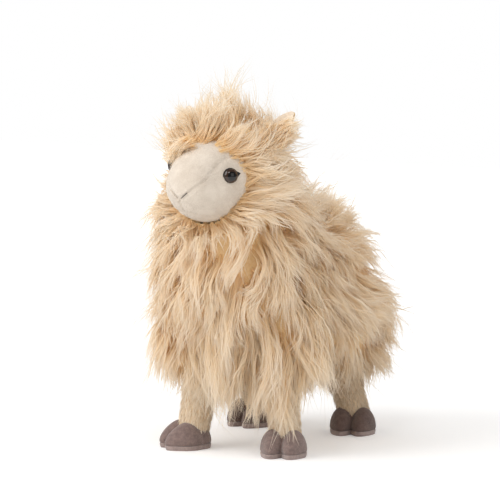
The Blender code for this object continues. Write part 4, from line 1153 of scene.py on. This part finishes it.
def lay_tufts(rng):
    """Comb every tuft of the coat. Returns lines, ways out and a tone for each, darker for lower tufts as
    painted shade.
    """
    points, outs = spread_points(TUFT_SPACING, rng)
    lines, ways, shades = [], [], []
    for point, out in zip(points, outs):
        spot, out = Vector(point), Vector(out)
        seam = above_hood_seam(spot)
        on_head = seam > HEAD_FROM
        in_mane = 1.0 - smoothstep(*MANE_BAND, abs(seam))
        length = HEAD_LENGTH if on_head else BODY_LENGTH
        if not on_head and out.z < BELLY_FACING:
            length = BELLY_LENGTH
        if spot.z < FRINGE_TOP:
            length = max(length, BODY_LENGTH * in_fringe(spot)) + FRINGE_EXTRA * in_fringe(spot)
        length = (length + MANE_EXTRA * in_mane) * rng.uniform(*LENGTH_RANGE)
        lie = lie_of_hair(spot, out)
        root = spot - lie * (length * rng.uniform(*ROOT_BACK)) - out * ROOT_DEPTH
        low, _, _, _ = skin_tree.find_nearest(root)
        ahead, local = past_fur_edge(np.array(low))
        if ahead > EDGE_FROM and EDGE_HEIGHTS[0] < local[2] < EDGE_HEIGHTS[1]:
            slid = Vector((local[0], local[1] + ahead + EDGE_SLIDE, local[2]))
            low, _, _, _ = skin_tree.find_nearest(face_place @ slid)
        level = rng.uniform(LOW_LEVEL, HIGH_LEVEL) + MANE_LEVEL * in_mane
        flick = rng.uniform(*FLICK_RANGE) + (FLICKED_MORE if rng.uniform() < FLICKED_SHARE else 0.0)
        line, way = comb(low, length, level, rng.normal(0.0, BEND), flick)
        lines.append(line)
        ways.append(way)
        # Painted shade: the lower a tuft lies, the darker its tone.
        shades.append(SHADE_LOW + PAINTED_SHADE_BY_LEVEL * (level - LOW_LEVEL) + TUFT_SHADES * rng.uniform())
    return np.array(lines), np.array(ways), np.array(shades)


def trimmed(lines, rng):
    """Shorten the tufts that would hang below the hem, each a little differently."""
    for line in lines:
        hem = hem_height(Vector(line[-1])) + rng.normal(0.0, HEM_RAGGED)
        below = np.flatnonzero(line[:, 2] < hem)
        if len(below) and below[0] > 1:
            last = below[0]
            share = (line[last - 1, 2] - hem) / max(line[last - 1, 2] - line[last, 2], 1e-9)
            end = last - 1 + share
            steps = np.linspace(0.0, end, len(line))
            whole = np.arange(len(line))
            line[:] = np.stack([np.interp(steps, whole, line[:, axis]) for axis in range(3)], 1)
    return lines


def split(lines, ways, parts, radius, gathered, shortest, wave, lift, rng, stations):
    """Split lines into parts that start side by side and run together to a share of their spread.

    Each part swings in waves of its own, and its end lifts off the coat or sinks to it. Returns the
    parts, their ways out and whose parts they are.
    """
    count = len(lines)
    owner = np.repeat(np.arange(count), parts)
    total = len(owner)
    grid = np.linspace(0.0, 1.0, stations)
    along = rng.uniform(shortest, 1.0, total)[:, None] * grid[None] * (lines.shape[1] - 1)
    low = np.minimum(along.astype(int), lines.shape[1] - 2)
    part = (along - low)[:, :, None]
    path = lines[owner[:, None], low] * (1 - part) + lines[owner[:, None], low + 1] * part
    out = ways[owner[:, None], low]
    tangent = unit(np.gradient(path, axis=1))
    beside = unit(np.cross(tangent, out))
    out = np.cross(beside, tangent)
    angle = rng.uniform(0.0, 2.0 * np.pi, total)
    off = radius * np.sqrt(rng.uniform(0.0, 1.0, total))
    loose = np.where(rng.uniform(size=total) < LOOSE_SHARE, LOOSE_SPREAD, 1.0)
    loose = loose * rng.uniform(0.6, 1.3, total)
    end = np.clip(gathered * loose * rng.uniform(0.4, 1.6, count)[owner], 0.0, 1.6)[:, None]
    fan = off[:, None] * ((1.0 - grid) ** FAN_CURVE + end * (1.0 - (1.0 - grid) ** FAN_CURVE))
    sideways = np.cos(angle)[:, None] * fan
    outward = np.sin(angle)[:, None] * fan * TUFT_FLATNESS
    run = np.linalg.norm(np.diff(path, axis=1), axis=2).cumsum(axis=1)
    run = np.concatenate([np.zeros((total, 1)), run], axis=1)
    height = wave * rng.uniform(0.3, 1.3, total)
    phase = rng.uniform(0.0, 2.0 * np.pi, count)[owner] + rng.normal(0.0, 0.45, total)
    swing = 2.0 * np.pi * run / (WAVE_LENGTH * rng.uniform(0.8, 1.25, total)[:, None]) + phase[:, None]
    sideways += height[:, None] * np.sin(swing) * grid ** 0.8
    outward += height[:, None] * 0.4 * np.cos(swing * 0.8) * grid ** 0.8
    sideways += rng.normal(0.0, 1.2, total)[:, None] * lift * grid ** 2.4
    outward += rng.normal(0.0, 1.0, total)[:, None] * lift * grid ** 2
    return path + beside * sideways[:, :, None] + out * outward[:, :, None], out, owner


def ribbons(places, out, width, rng):
    """Half widths of hairs as vectors, each hair rolled a little about its run."""
    hairs, stations, _ = places.shape
    grid = np.linspace(0.0, 1.0, stations)
    tangent = unit(np.gradient(places, axis=1))
    beside = unit(np.cross(tangent, out))
    out = np.cross(beside, tangent)
    roll = np.clip(rng.normal(0.0, HAIR_ROLL, hairs), -1.2, 1.2)[:, None]
    flat_way = beside * np.cos(roll)[:, :, None] + out * np.sin(roll)[:, :, None]
    taper = np.interp(grid, (0.0, 0.35, 0.75, 1.0), (0.75, 1.0, 0.8, 0.1))
    widths = width / 2 * rng.uniform(0.6, 1.4, hairs)
    return flat_way * (widths[:, None] * taper[None])[:, :, None]


def grow(lines, ways, shades, rng):
    """Hairs of tufts: their places, half widths, tones and tufts, and the locks they lie in."""
    locks, lock_ways, tuft = split(lines, ways, LOCKS_IN_TUFT, TUFT_RADIUS, TUFT_GATHERED, TUFT_SHORTEST,
                                   WAVE_HEIGHT, LOCK_LIFT, rng, TUFT_STEPS + 1)
    places, outs, lock = split(locks, lock_ways, HAIRS_IN_LOCK, LOCK_RADIUS, LOCK_GATHERED, LOCK_SHORTEST,
                               HAIR_WAVE, HAIR_LIFT, rng, HAIR_STATIONS)
    shade = shades[tuft][lock] + rng.normal(0.0, LOCK_SHADES, len(locks))[lock]
    shade = shade + rng.normal(0.0, HAIR_SHADES, len(places))
    tones = np.clip((shade * TONES).astype(int), 0, TONES - 1)
    return places, ribbons(places, outs, HAIR_WIDTH, rng), tones, tuft[lock], (locks, lock_ways)


def clear_of_face(places):
    """Which hairs stay off the bare face."""
    ahead, local = past_fur_edge(places)
    beside_face = (local[..., 2] > FACE_CLEAR_Z[0]) & (local[..., 2] < FACE_CLEAR_Z[1])
    beside_face &= np.abs(local[..., 0]) < FACE_CLEAR_X
    return ~((ahead > FACE_CLEARANCE) & beside_face).any(axis=1)


coat_rng = np.random.default_rng(11)
lines, ways, shades = lay_tufts(coat_rng)
lines = trimmed(lines, coat_rng)
places, across, tones, tuft, (locks, lock_ways) = grow(lines, ways, shades, coat_rng)
roots = lines[tuft, 0]

# Stray locks stand off the coat and reach past their neighbours, most of all on the crown.
STRAY_LOCKS = 1300
STRAY_HAIRS = 4
STRAY_RISE = (0.001, 0.018)
STRAY_REACH = 1.20
TOP_STRAY_REACH = 1.50
TOP_FROM_Z = CROWN_MIDDLE.z + 0.02
STRAY_GATHERED = 1.1
STRAY_SHORTEST = 0.7
STRAY_WAVE = 0.0026
STRAY_LIFT = 0.004
STRAY_WIDTH = HAIR_WIDTH * 0.95
PALE_TONE = 4
ROOM_BEYOND = 0.0075
FLOOR_CLEARANCE = 0.002

stray = coat_rng.choice(len(locks), STRAY_LOCKS, replace=False)
rise = np.linspace(0.0, 1.0, TUFT_STEPS + 1) ** 2 * coat_rng.uniform(*STRAY_RISE, STRAY_LOCKS)[:, None]
stray_roots = locks[stray, :1]
on_top = stray_roots[:, :, 2:] > stance.z + TOP_FROM_Z
reach = np.where(on_top, TOP_STRAY_REACH, STRAY_REACH)
reach = reach * coat_rng.uniform(0.85, 1.15, STRAY_LOCKS)[:, None, None]
stray_lines = stray_roots + (locks[stray] - stray_roots) * reach + lock_ways[stray] * rise[:, :, None]
stray_places, stray_outs, stray_lock = split(
    stray_lines, lock_ways[stray], STRAY_HAIRS, LOCK_RADIUS, STRAY_GATHERED, STRAY_SHORTEST,
    STRAY_WAVE, STRAY_LIFT, coat_rng, HAIR_STATIONS)
stray_across = ribbons(stray_places, stray_outs, STRAY_WIDTH, coat_rng)
stray_tones = coat_rng.integers(PALE_TONE, TONES, len(stray_places))
places = np.concatenate([places, stray_places])
across = np.concatenate([across, stray_across])
tones = np.concatenate([tones, stray_tones])
roots = np.concatenate([roots, stray_lines[stray_lock, 0]])

# Hair is trimmed off the bare face and where it would stand too far out of the toy's size.
room_low = np.array(cad_box[0]) - ROOM_BEYOND * np.array((1.0, 1.0, 0.0))
room_low += np.array((0.0, 0.0, FLOOR_CLEARANCE))
room_high = np.array(cad_box[1]) + ROOM_BEYOND * np.array((1.0, 1.0, 2.0))
kept = clear_of_face(places) & ((places > room_low) & (places < room_high)).all(axis=(1, 2))
places, across, tones, roots = places[kept], across[kept], tones[kept], roots[kept]

# A few tufts have places of their own: a forelock that falls over the brow, and long tufts that
# hang down the front left shin and the rear left thigh.
BROW_ROOTS = (
    (-0.007, 0.026, 0.036), (-0.013, 0.024, 0.034), (-0.018, 0.022, 0.030), (-0.023, 0.019, 0.025),
)
BROW_TUFTS = 2
BROW_LENGTH = 0.026
BROW_LIFT = 0.0060
BROW_ARCH = 2.4
BROW_DEPTH = 0.003
BROW_ASIDE = Vector((-0.895, -0.446, 0.0))
BROW_FALL = Vector((0.10, -0.20, -0.85))
HANGING_TUFTS = (
    ((0.043, -0.084, 0.076), (0.0, -1.0, 0.0), 0.066, 8),
    ((0.044, 0.087, 0.082), (0.0, 1.0, 0.0), 0.062, 6),
)
HANGING_SPREAD = ((-0.018, 0.008), (-0.003, 0.004), (-0.006, 0.004))
STEP_SHARES = [step / TUFT_STEPS for step in range(TUFT_STEPS + 1)]


def arc(start, course, length, sag):
    """A line that runs along a course and sags under its weight."""
    return [start + course * (length * s) + DOWN * (length * sag * s * s) for s in STEP_SHARES]


placed_lines, placed_ways = [], []
for x, forward, z in BROW_ROOTS:
    for _ in range(BROW_TUFTS):
        spot = face_point(x, forward, z)
        facing = (spot - face_place.translation).normalized()
        spot = spot - facing * BROW_DEPTH
        fall = BROW_ASIDE * coat_rng.uniform(0.15, 0.65) + BROW_FALL
        length = BROW_LENGTH * coat_rng.uniform(0.75, 1.2)
        placed_lines.append([
            spot + facing * (BROW_LIFT * math.sin(BROW_ARCH * s)) + fall * (length * s)
            for s in STEP_SHARES
        ])
        placed_ways.append([facing] * len(STEP_SHARES))
for place, out, length, number in HANGING_TUFTS:
    for _ in range(number):
        aside = Vector([coat_rng.uniform(low, high) for low, high in HANGING_SPREAD])
        spot = stance + Vector(place) + aside
        lean = Vector((coat_rng.uniform(-0.15, 0.15), 0.04, -1.0)) * (length * coat_rng.uniform(0.75, 1.1))
        placed_lines.append(arc(spot, lean, 1.0, 0.0))
        placed_ways.append([Vector(out)] * len(STEP_SHARES))
placed_shades = coat_rng.uniform(0.4, 0.8, len(placed_lines))
placed_places, placed_across, placed_tones, placed_tuft, _ = grow(
    np.array(placed_lines), np.array(placed_ways), placed_shades, coat_rng)
places = np.concatenate([places, placed_places])
across = np.concatenate([across, placed_across])
tones = np.concatenate([tones, placed_tones])
roots = np.concatenate([roots, np.array(placed_lines)[placed_tuft, 0]])

# Each hair belongs to the panel that it is rooted in.
BELLY_HALF_WIDTH = 0.030
BELLY_HALF_LENGTH = 0.078
BELLY_TOP_Z = 0.076
PANEL_MIDDLE_Y = -0.005

long_pile = piled("long_pile", PILE_ROOT, PILE_TIP, PILE_DARKEST, PILE_PALEST,
                  PILE_ROUGHNESS, PILE_SHEEN, PILE_THROUGH)
from_stance = roots - np.array(stance)
on_hood = (roots - np.array(stance + HOOD_SEAM)) @ np.array(HOOD_SEAM_NORMAL) > 0.0
on_belly = ~on_hood & (np.abs(from_stance[:, 0]) < BELLY_HALF_WIDTH)
on_belly &= (np.abs(from_stance[:, 1]) < BELLY_HALF_LENGTH) & (from_stance[:, 2] < BELLY_TOP_Z)
on_left = from_stance[:, 0] > 0.0
at_front = from_stance[:, 1] < PANEL_MIDDLE_Y
body = ~on_hood & ~on_belly
for name, chosen, node in (
    ("hood_pile_left", on_hood & on_left, "hood"),
    ("hood_pile_right", on_hood & ~on_left, "hood"),
    ("coat_pile_left_front", body & on_left & at_front, "coat_left"),
    ("coat_pile_left_rear", body & on_left & ~at_front, "coat_left"),
    ("coat_pile_right_front", body & ~on_left & at_front, "coat_right"),
    ("coat_pile_right_rear", body & ~on_left & ~at_front, "coat_right"),
    ("belly_pile", on_belly, "belly_panel"),
):
    mesh = hair_mesh(name, places[chosen], across[chosen], tones[chosen])
    dress(name, mesh, long_pile, "long_pile", node)


# The ears are leaves of two fabrics sewn round their edge: short pile inside and long pile on the
# back. The hair sweeps out past their tips on both faces and hides them almost wholly.
EAR_ROOT = Vector((0.029, -0.070, 0.251))
EAR_TIP = Vector((0.048, -0.058, 0.281))
EAR_HALF_WIDTH = 0.0100
EAR_THICKNESS = 0.0022
EAR_TUFTS = 20
EAR_HAIR_LENGTH = 0.024
EAR_BEHIND = (0.35, 0.9, 0.2)
EAR_POINT = 0.45
EAR_CUP = 0.0030
EAR_LINING_LIT = (0.86, 0.74, 0.60)
EAR_LINING_SHADED = (0.78, 0.64, 0.50)

ear_plush = napped("ear_plush", EAR_LINING_SHADED, EAR_LINING_LIT, roughness=0.9, sheen=0.2,
                   drift=240.0, nap=1500.0, depth=0.0005)
for word, side in SIDES:
    root, tip = (stance + Vector((side * end.x, end.y, end.z)) for end in (EAR_ROOT, EAR_TIP))
    axis = (tip - root).normalized()
    behind = Vector((side * EAR_BEHIND[0], EAR_BEHIND[1], EAR_BEHIND[2]))
    across_ear = axis.cross(behind).normalized()
    behind = across_ear.cross(axis).normalized()
    for layer, start, material, slot in (
        ("lining", -EAR_THICKNESS, ear_plush, "face_pile"),
        ("back", 0.0, backing_knit, "long_pile"),
    ):
        bm = bmesh.new()
        bmesh.ops.create_uvsphere(bm, u_segments=32, v_segments=20, radius=1.0)
        for vert in bm.verts:
            share = 0.5 + 0.5 * vert.co.z
            pointed = 1.0 - EAR_POINT * share * share
            cup = EAR_CUP * (1.0 - vert.co.x ** 2)
            vert.co = (root + axis * (share * (tip - root).length)
                       + across_ear * (vert.co.x * EAR_HALF_WIDTH * pointed)
                       + behind * (start + EAR_THICKNESS / 2 * (1.0 + vert.co.y) + cup))
        bmesh.ops.recalc_face_normals(bm, faces=bm.faces)
        dress(f"ear_{layer}_plush_{word}", smooth_mesh("ear", bm), material, slot, f"ear_{layer}_{word}")

    rng = np.random.default_rng(70 + side)
    ear_lines, ear_ways = [], []
    for index in range(EAR_TUFTS):
        start = rng.uniform(-0.25, 0.50)
        aside = rng.uniform(-1.0, 1.0)
        place = root + axis * (start * (tip - root).length) + across_ear * (aside * EAR_HALF_WIDTH * 0.8)
        face = 1.0 if index % 2 else -1.0
        place += behind * (EAR_THICKNESS * face)
        course = axis + across_ear * (aside * 0.45) + behind * (face * rng.uniform(0.05, 0.35))
        length = EAR_HAIR_LENGTH * rng.uniform(0.8, 1.2)
        ear_lines.append(arc(place, course.normalized(), length, rng.uniform(0.05, 0.32)))
        ear_ways.append([behind] * len(STEP_SHARES))
    ear_shades = rng.uniform(0.45, 0.85, EAR_TUFTS)
    ear_places, ear_across, ear_tones, _, _ = grow(np.array(ear_lines), np.array(ear_ways), ear_shades, rng)
    mesh = hair_mesh("ear_pile", ear_places, ear_across, ear_tones)
    dress("ear_pile_" + word, mesh, long_pile, "long_pile", "ear_back_" + word)


# The tail is a short drooping tuft of the same hair on a narrow stuffed core, which is caught in
# the seam at the top of the rump.
TAIL_ROOT = Vector((0.0, 0.088, 0.152))
TAIL_TIP = Vector((0.0, 0.122, 0.098))
TAIL_TUFTS = 20
TAIL_SPREAD = 0.0050
TAIL_OUT = Vector((0.0, 0.85, 0.5))
TAIL_THICKNESS = 0.0060
TAIL_SAG = 0.2
TAIL_VOXEL = 0.002

bm = bmesh.new()
bm.from_mesh(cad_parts["tail"].data)
tail_core = evaluated_mesh("tail_core", bm, (
    ("REMESH", {"mode": "VOXEL", "voxel_size": TAIL_VOXEL}),
    ("SMOOTH", {"factor": 0.5, "iterations": 12}),
))
tail_core.shade_smooth()
dress("tail_core", tail_core, backing_knit, "long_pile", "tail")
rng = np.random.default_rng(90)
tail_lines, tail_ways = [], []
for _ in range(TAIL_TUFTS):
    place = stance + TAIL_ROOT.lerp(TAIL_TIP, rng.uniform(-0.05, 0.6)) + TAIL_OUT * TAIL_THICKNESS
    place += Vector(rng.normal(0.0, TAIL_SPREAD, 3))
    course = (TAIL_TIP - TAIL_ROOT).normalized()
    course += Vector((rng.normal(0.0, 0.2), rng.uniform(-0.30, 0.0), 0.0))
    tail_lines.append(arc(place, course, BELLY_LENGTH * rng.uniform(0.9, 1.25), TAIL_SAG))
    tail_ways.append([TAIL_OUT] * len(STEP_SHARES))
tail_shades = rng.uniform(0.35, 0.8, TAIL_TUFTS)
tail_places, tail_across, tail_tones, _, _ = grow(np.array(tail_lines), np.array(tail_ways), tail_shades, rng)
kept = ((tail_places > room_low) & (tail_places < room_high)).all(axis=(1, 2))
mesh = hair_mesh("tail_pile", tail_places[kept], tail_across[kept], tail_tones[kept])
dress("tail_pile", mesh, long_pile, "long_pile", "tail")


# The camera stands where the photograph was taken from: a little above the eyes, in front and to
# the animal's left, with a long lens.
CAMERA_TURN = math.radians(26.5)
CAMERA_LIFT = math.radians(7.6)
CAMERA_FAR = 5.000
PIXELS_PER_METRE = 1209.0
IMAGE_WIDTH = 500.0
SENSOR_WIDTH = 36.0
AIM_RIGHT = -0.01716
AIM_UP = 0.1563

turn_sin, turn_cos = math.sin(CAMERA_TURN), math.cos(CAMERA_TURN)
lift_sin, lift_cos = math.sin(CAMERA_LIFT), math.cos(CAMERA_LIFT)
right = Vector((turn_cos, turn_sin, 0.0))
up = Vector((-turn_sin * lift_sin, turn_cos * lift_sin, lift_cos))
back = Vector((turn_sin * lift_cos, -turn_cos * lift_cos, lift_sin))
camera = bpy.data.objects.new("camera", bpy.data.cameras.new("camera"))
camera.data.sensor_width = SENSOR_WIDTH
camera.data.lens = SENSOR_WIDTH * PIXELS_PER_METRE * CAMERA_FAR / IMAGE_WIDTH
camera.location = stance + right * AIM_RIGHT + up * AIM_UP + back * CAMERA_FAR
camera.rotation_mode = "QUATERNION"
camera.rotation_quaternion = (-back).to_track_quat("-Z", "Y")
bpy.context.scene.collection.objects.link(camera)
bpy.context.scene.camera = camera


# The studio is a white floor under pale light from all round. A large soft lamp stands high on the
# camera's left, a weak one on its right, and a small one above puts the glint in the eyes. The
# room is dim to what shines, so that the eyes stay dark.
FLOOR_SIZE = 3.6
FLOOR_COLOUR = (0.86, 0.86, 0.86)
FLOOR_GLOW = 0.24
FLOOR_FADE = 0.22
ROOM_LIGHT = 0.76
ROOM_SHINE = 0.16
ROOM_WHITE = (1.0, 0.99, 0.98)
LAMPS = (
    ("key_lamp", Vector((-0.95, -1.00, 1.10)), 1.30, 15.5),
    ("glint_lamp", Vector((0.42, -1.10, 1.55)), 0.38, 3.0),
    ("fill_lamp", Vector((1.40, -0.60, 0.60)), 0.90, 1.5),
)
LAMP_AIM = Vector((0.0, 0.0, 0.16))

bm = bmesh.new()
bmesh.ops.create_grid(bm, x_segments=1, y_segments=1, size=FLOOR_SIZE / 2)
floor_mesh = bpy.data.meshes.new("floor")
bm.to_mesh(floor_mesh)
bm.free()
floor_paint = finish("floor_paint", FLOOR_COLOUR, 0.9)
middle_gap = worked(floor_paint, "VectorMath", "LENGTH", add(floor_paint, "TexCoord").outputs["Object"])
fade = worked(floor_paint, "Math", "MULTIPLY_ADD", middle_gap, FLOOR_FADE, FLOOR_GLOW)
seen_ray = add(floor_paint, "LightPath").outputs["Is Camera Ray"]
glow = add(floor_paint, "Emission")
wire(floor_paint, worked(floor_paint, "Math", "MULTIPLY", seen_ray, fade), glow.inputs["Strength"])
both = add(floor_paint, "AddShader")
wire(floor_paint, shader_of(floor_paint).outputs["BSDF"], both.inputs[0])
wire(floor_paint, glow.outputs["Emission"], both.inputs[1])
wire(floor_paint, both.outputs["Shader"], floor_paint.node_tree.nodes["Material Output"].inputs["Surface"])
floor_mesh.materials.append(floor_paint)
floor = bpy.data.objects.new("floor", floor_mesh)
bpy.context.scene.collection.objects.link(floor)

room = bpy.data.worlds.new("room")
room.use_nodes = True
bpy.context.scene.world = room
backdrop = room.node_tree.nodes["Background"]
backdrop.inputs["Color"].default_value = (1.0, 1.0, 1.0, 1.0)
soft, dim = (
    add(room, "Background", Color=(*ROOM_WHITE, 1.0), Strength=strength)
    for strength in (ROOM_LIGHT, ROOM_SHINE)
)
paths = add(room, "LightPath")
seen = worked(room, "Math", "MAXIMUM", paths.outputs["Is Camera Ray"], paths.outputs["Is Transmission Ray"])
shiny = add(room, "MixShader")
choose = add(room, "MixShader")
for source, target in (
    (paths.outputs["Is Glossy Ray"], shiny.inputs["Fac"]),
    (soft.outputs["Background"], shiny.inputs[1]),
    (dim.outputs["Background"], shiny.inputs[2]),
    (seen, choose.inputs["Fac"]),
    (shiny.outputs["Shader"], choose.inputs[1]),
    (backdrop.outputs["Background"], choose.inputs[2]),
    (choose.outputs["Shader"], room.node_tree.nodes["World Output"].inputs["Surface"]),
):
    wire(room, source, target)

for name, place, size, power in LAMPS:
    lamp = bpy.data.objects.new(name, bpy.data.lights.new(name, "AREA"))
    lamp.data.shape = "SQUARE"
    lamp.data.size = size
    lamp.data.energy = power
    lamp.location = place
    lamp.rotation_mode = "QUATERNION"
    lamp.rotation_quaternion = (place - LAMP_AIM).to_track_quat("Z", "Y")
    bpy.context.scene.collection.objects.link(lamp)

bpy.context.scene.view_settings.view_transform = "Standard"
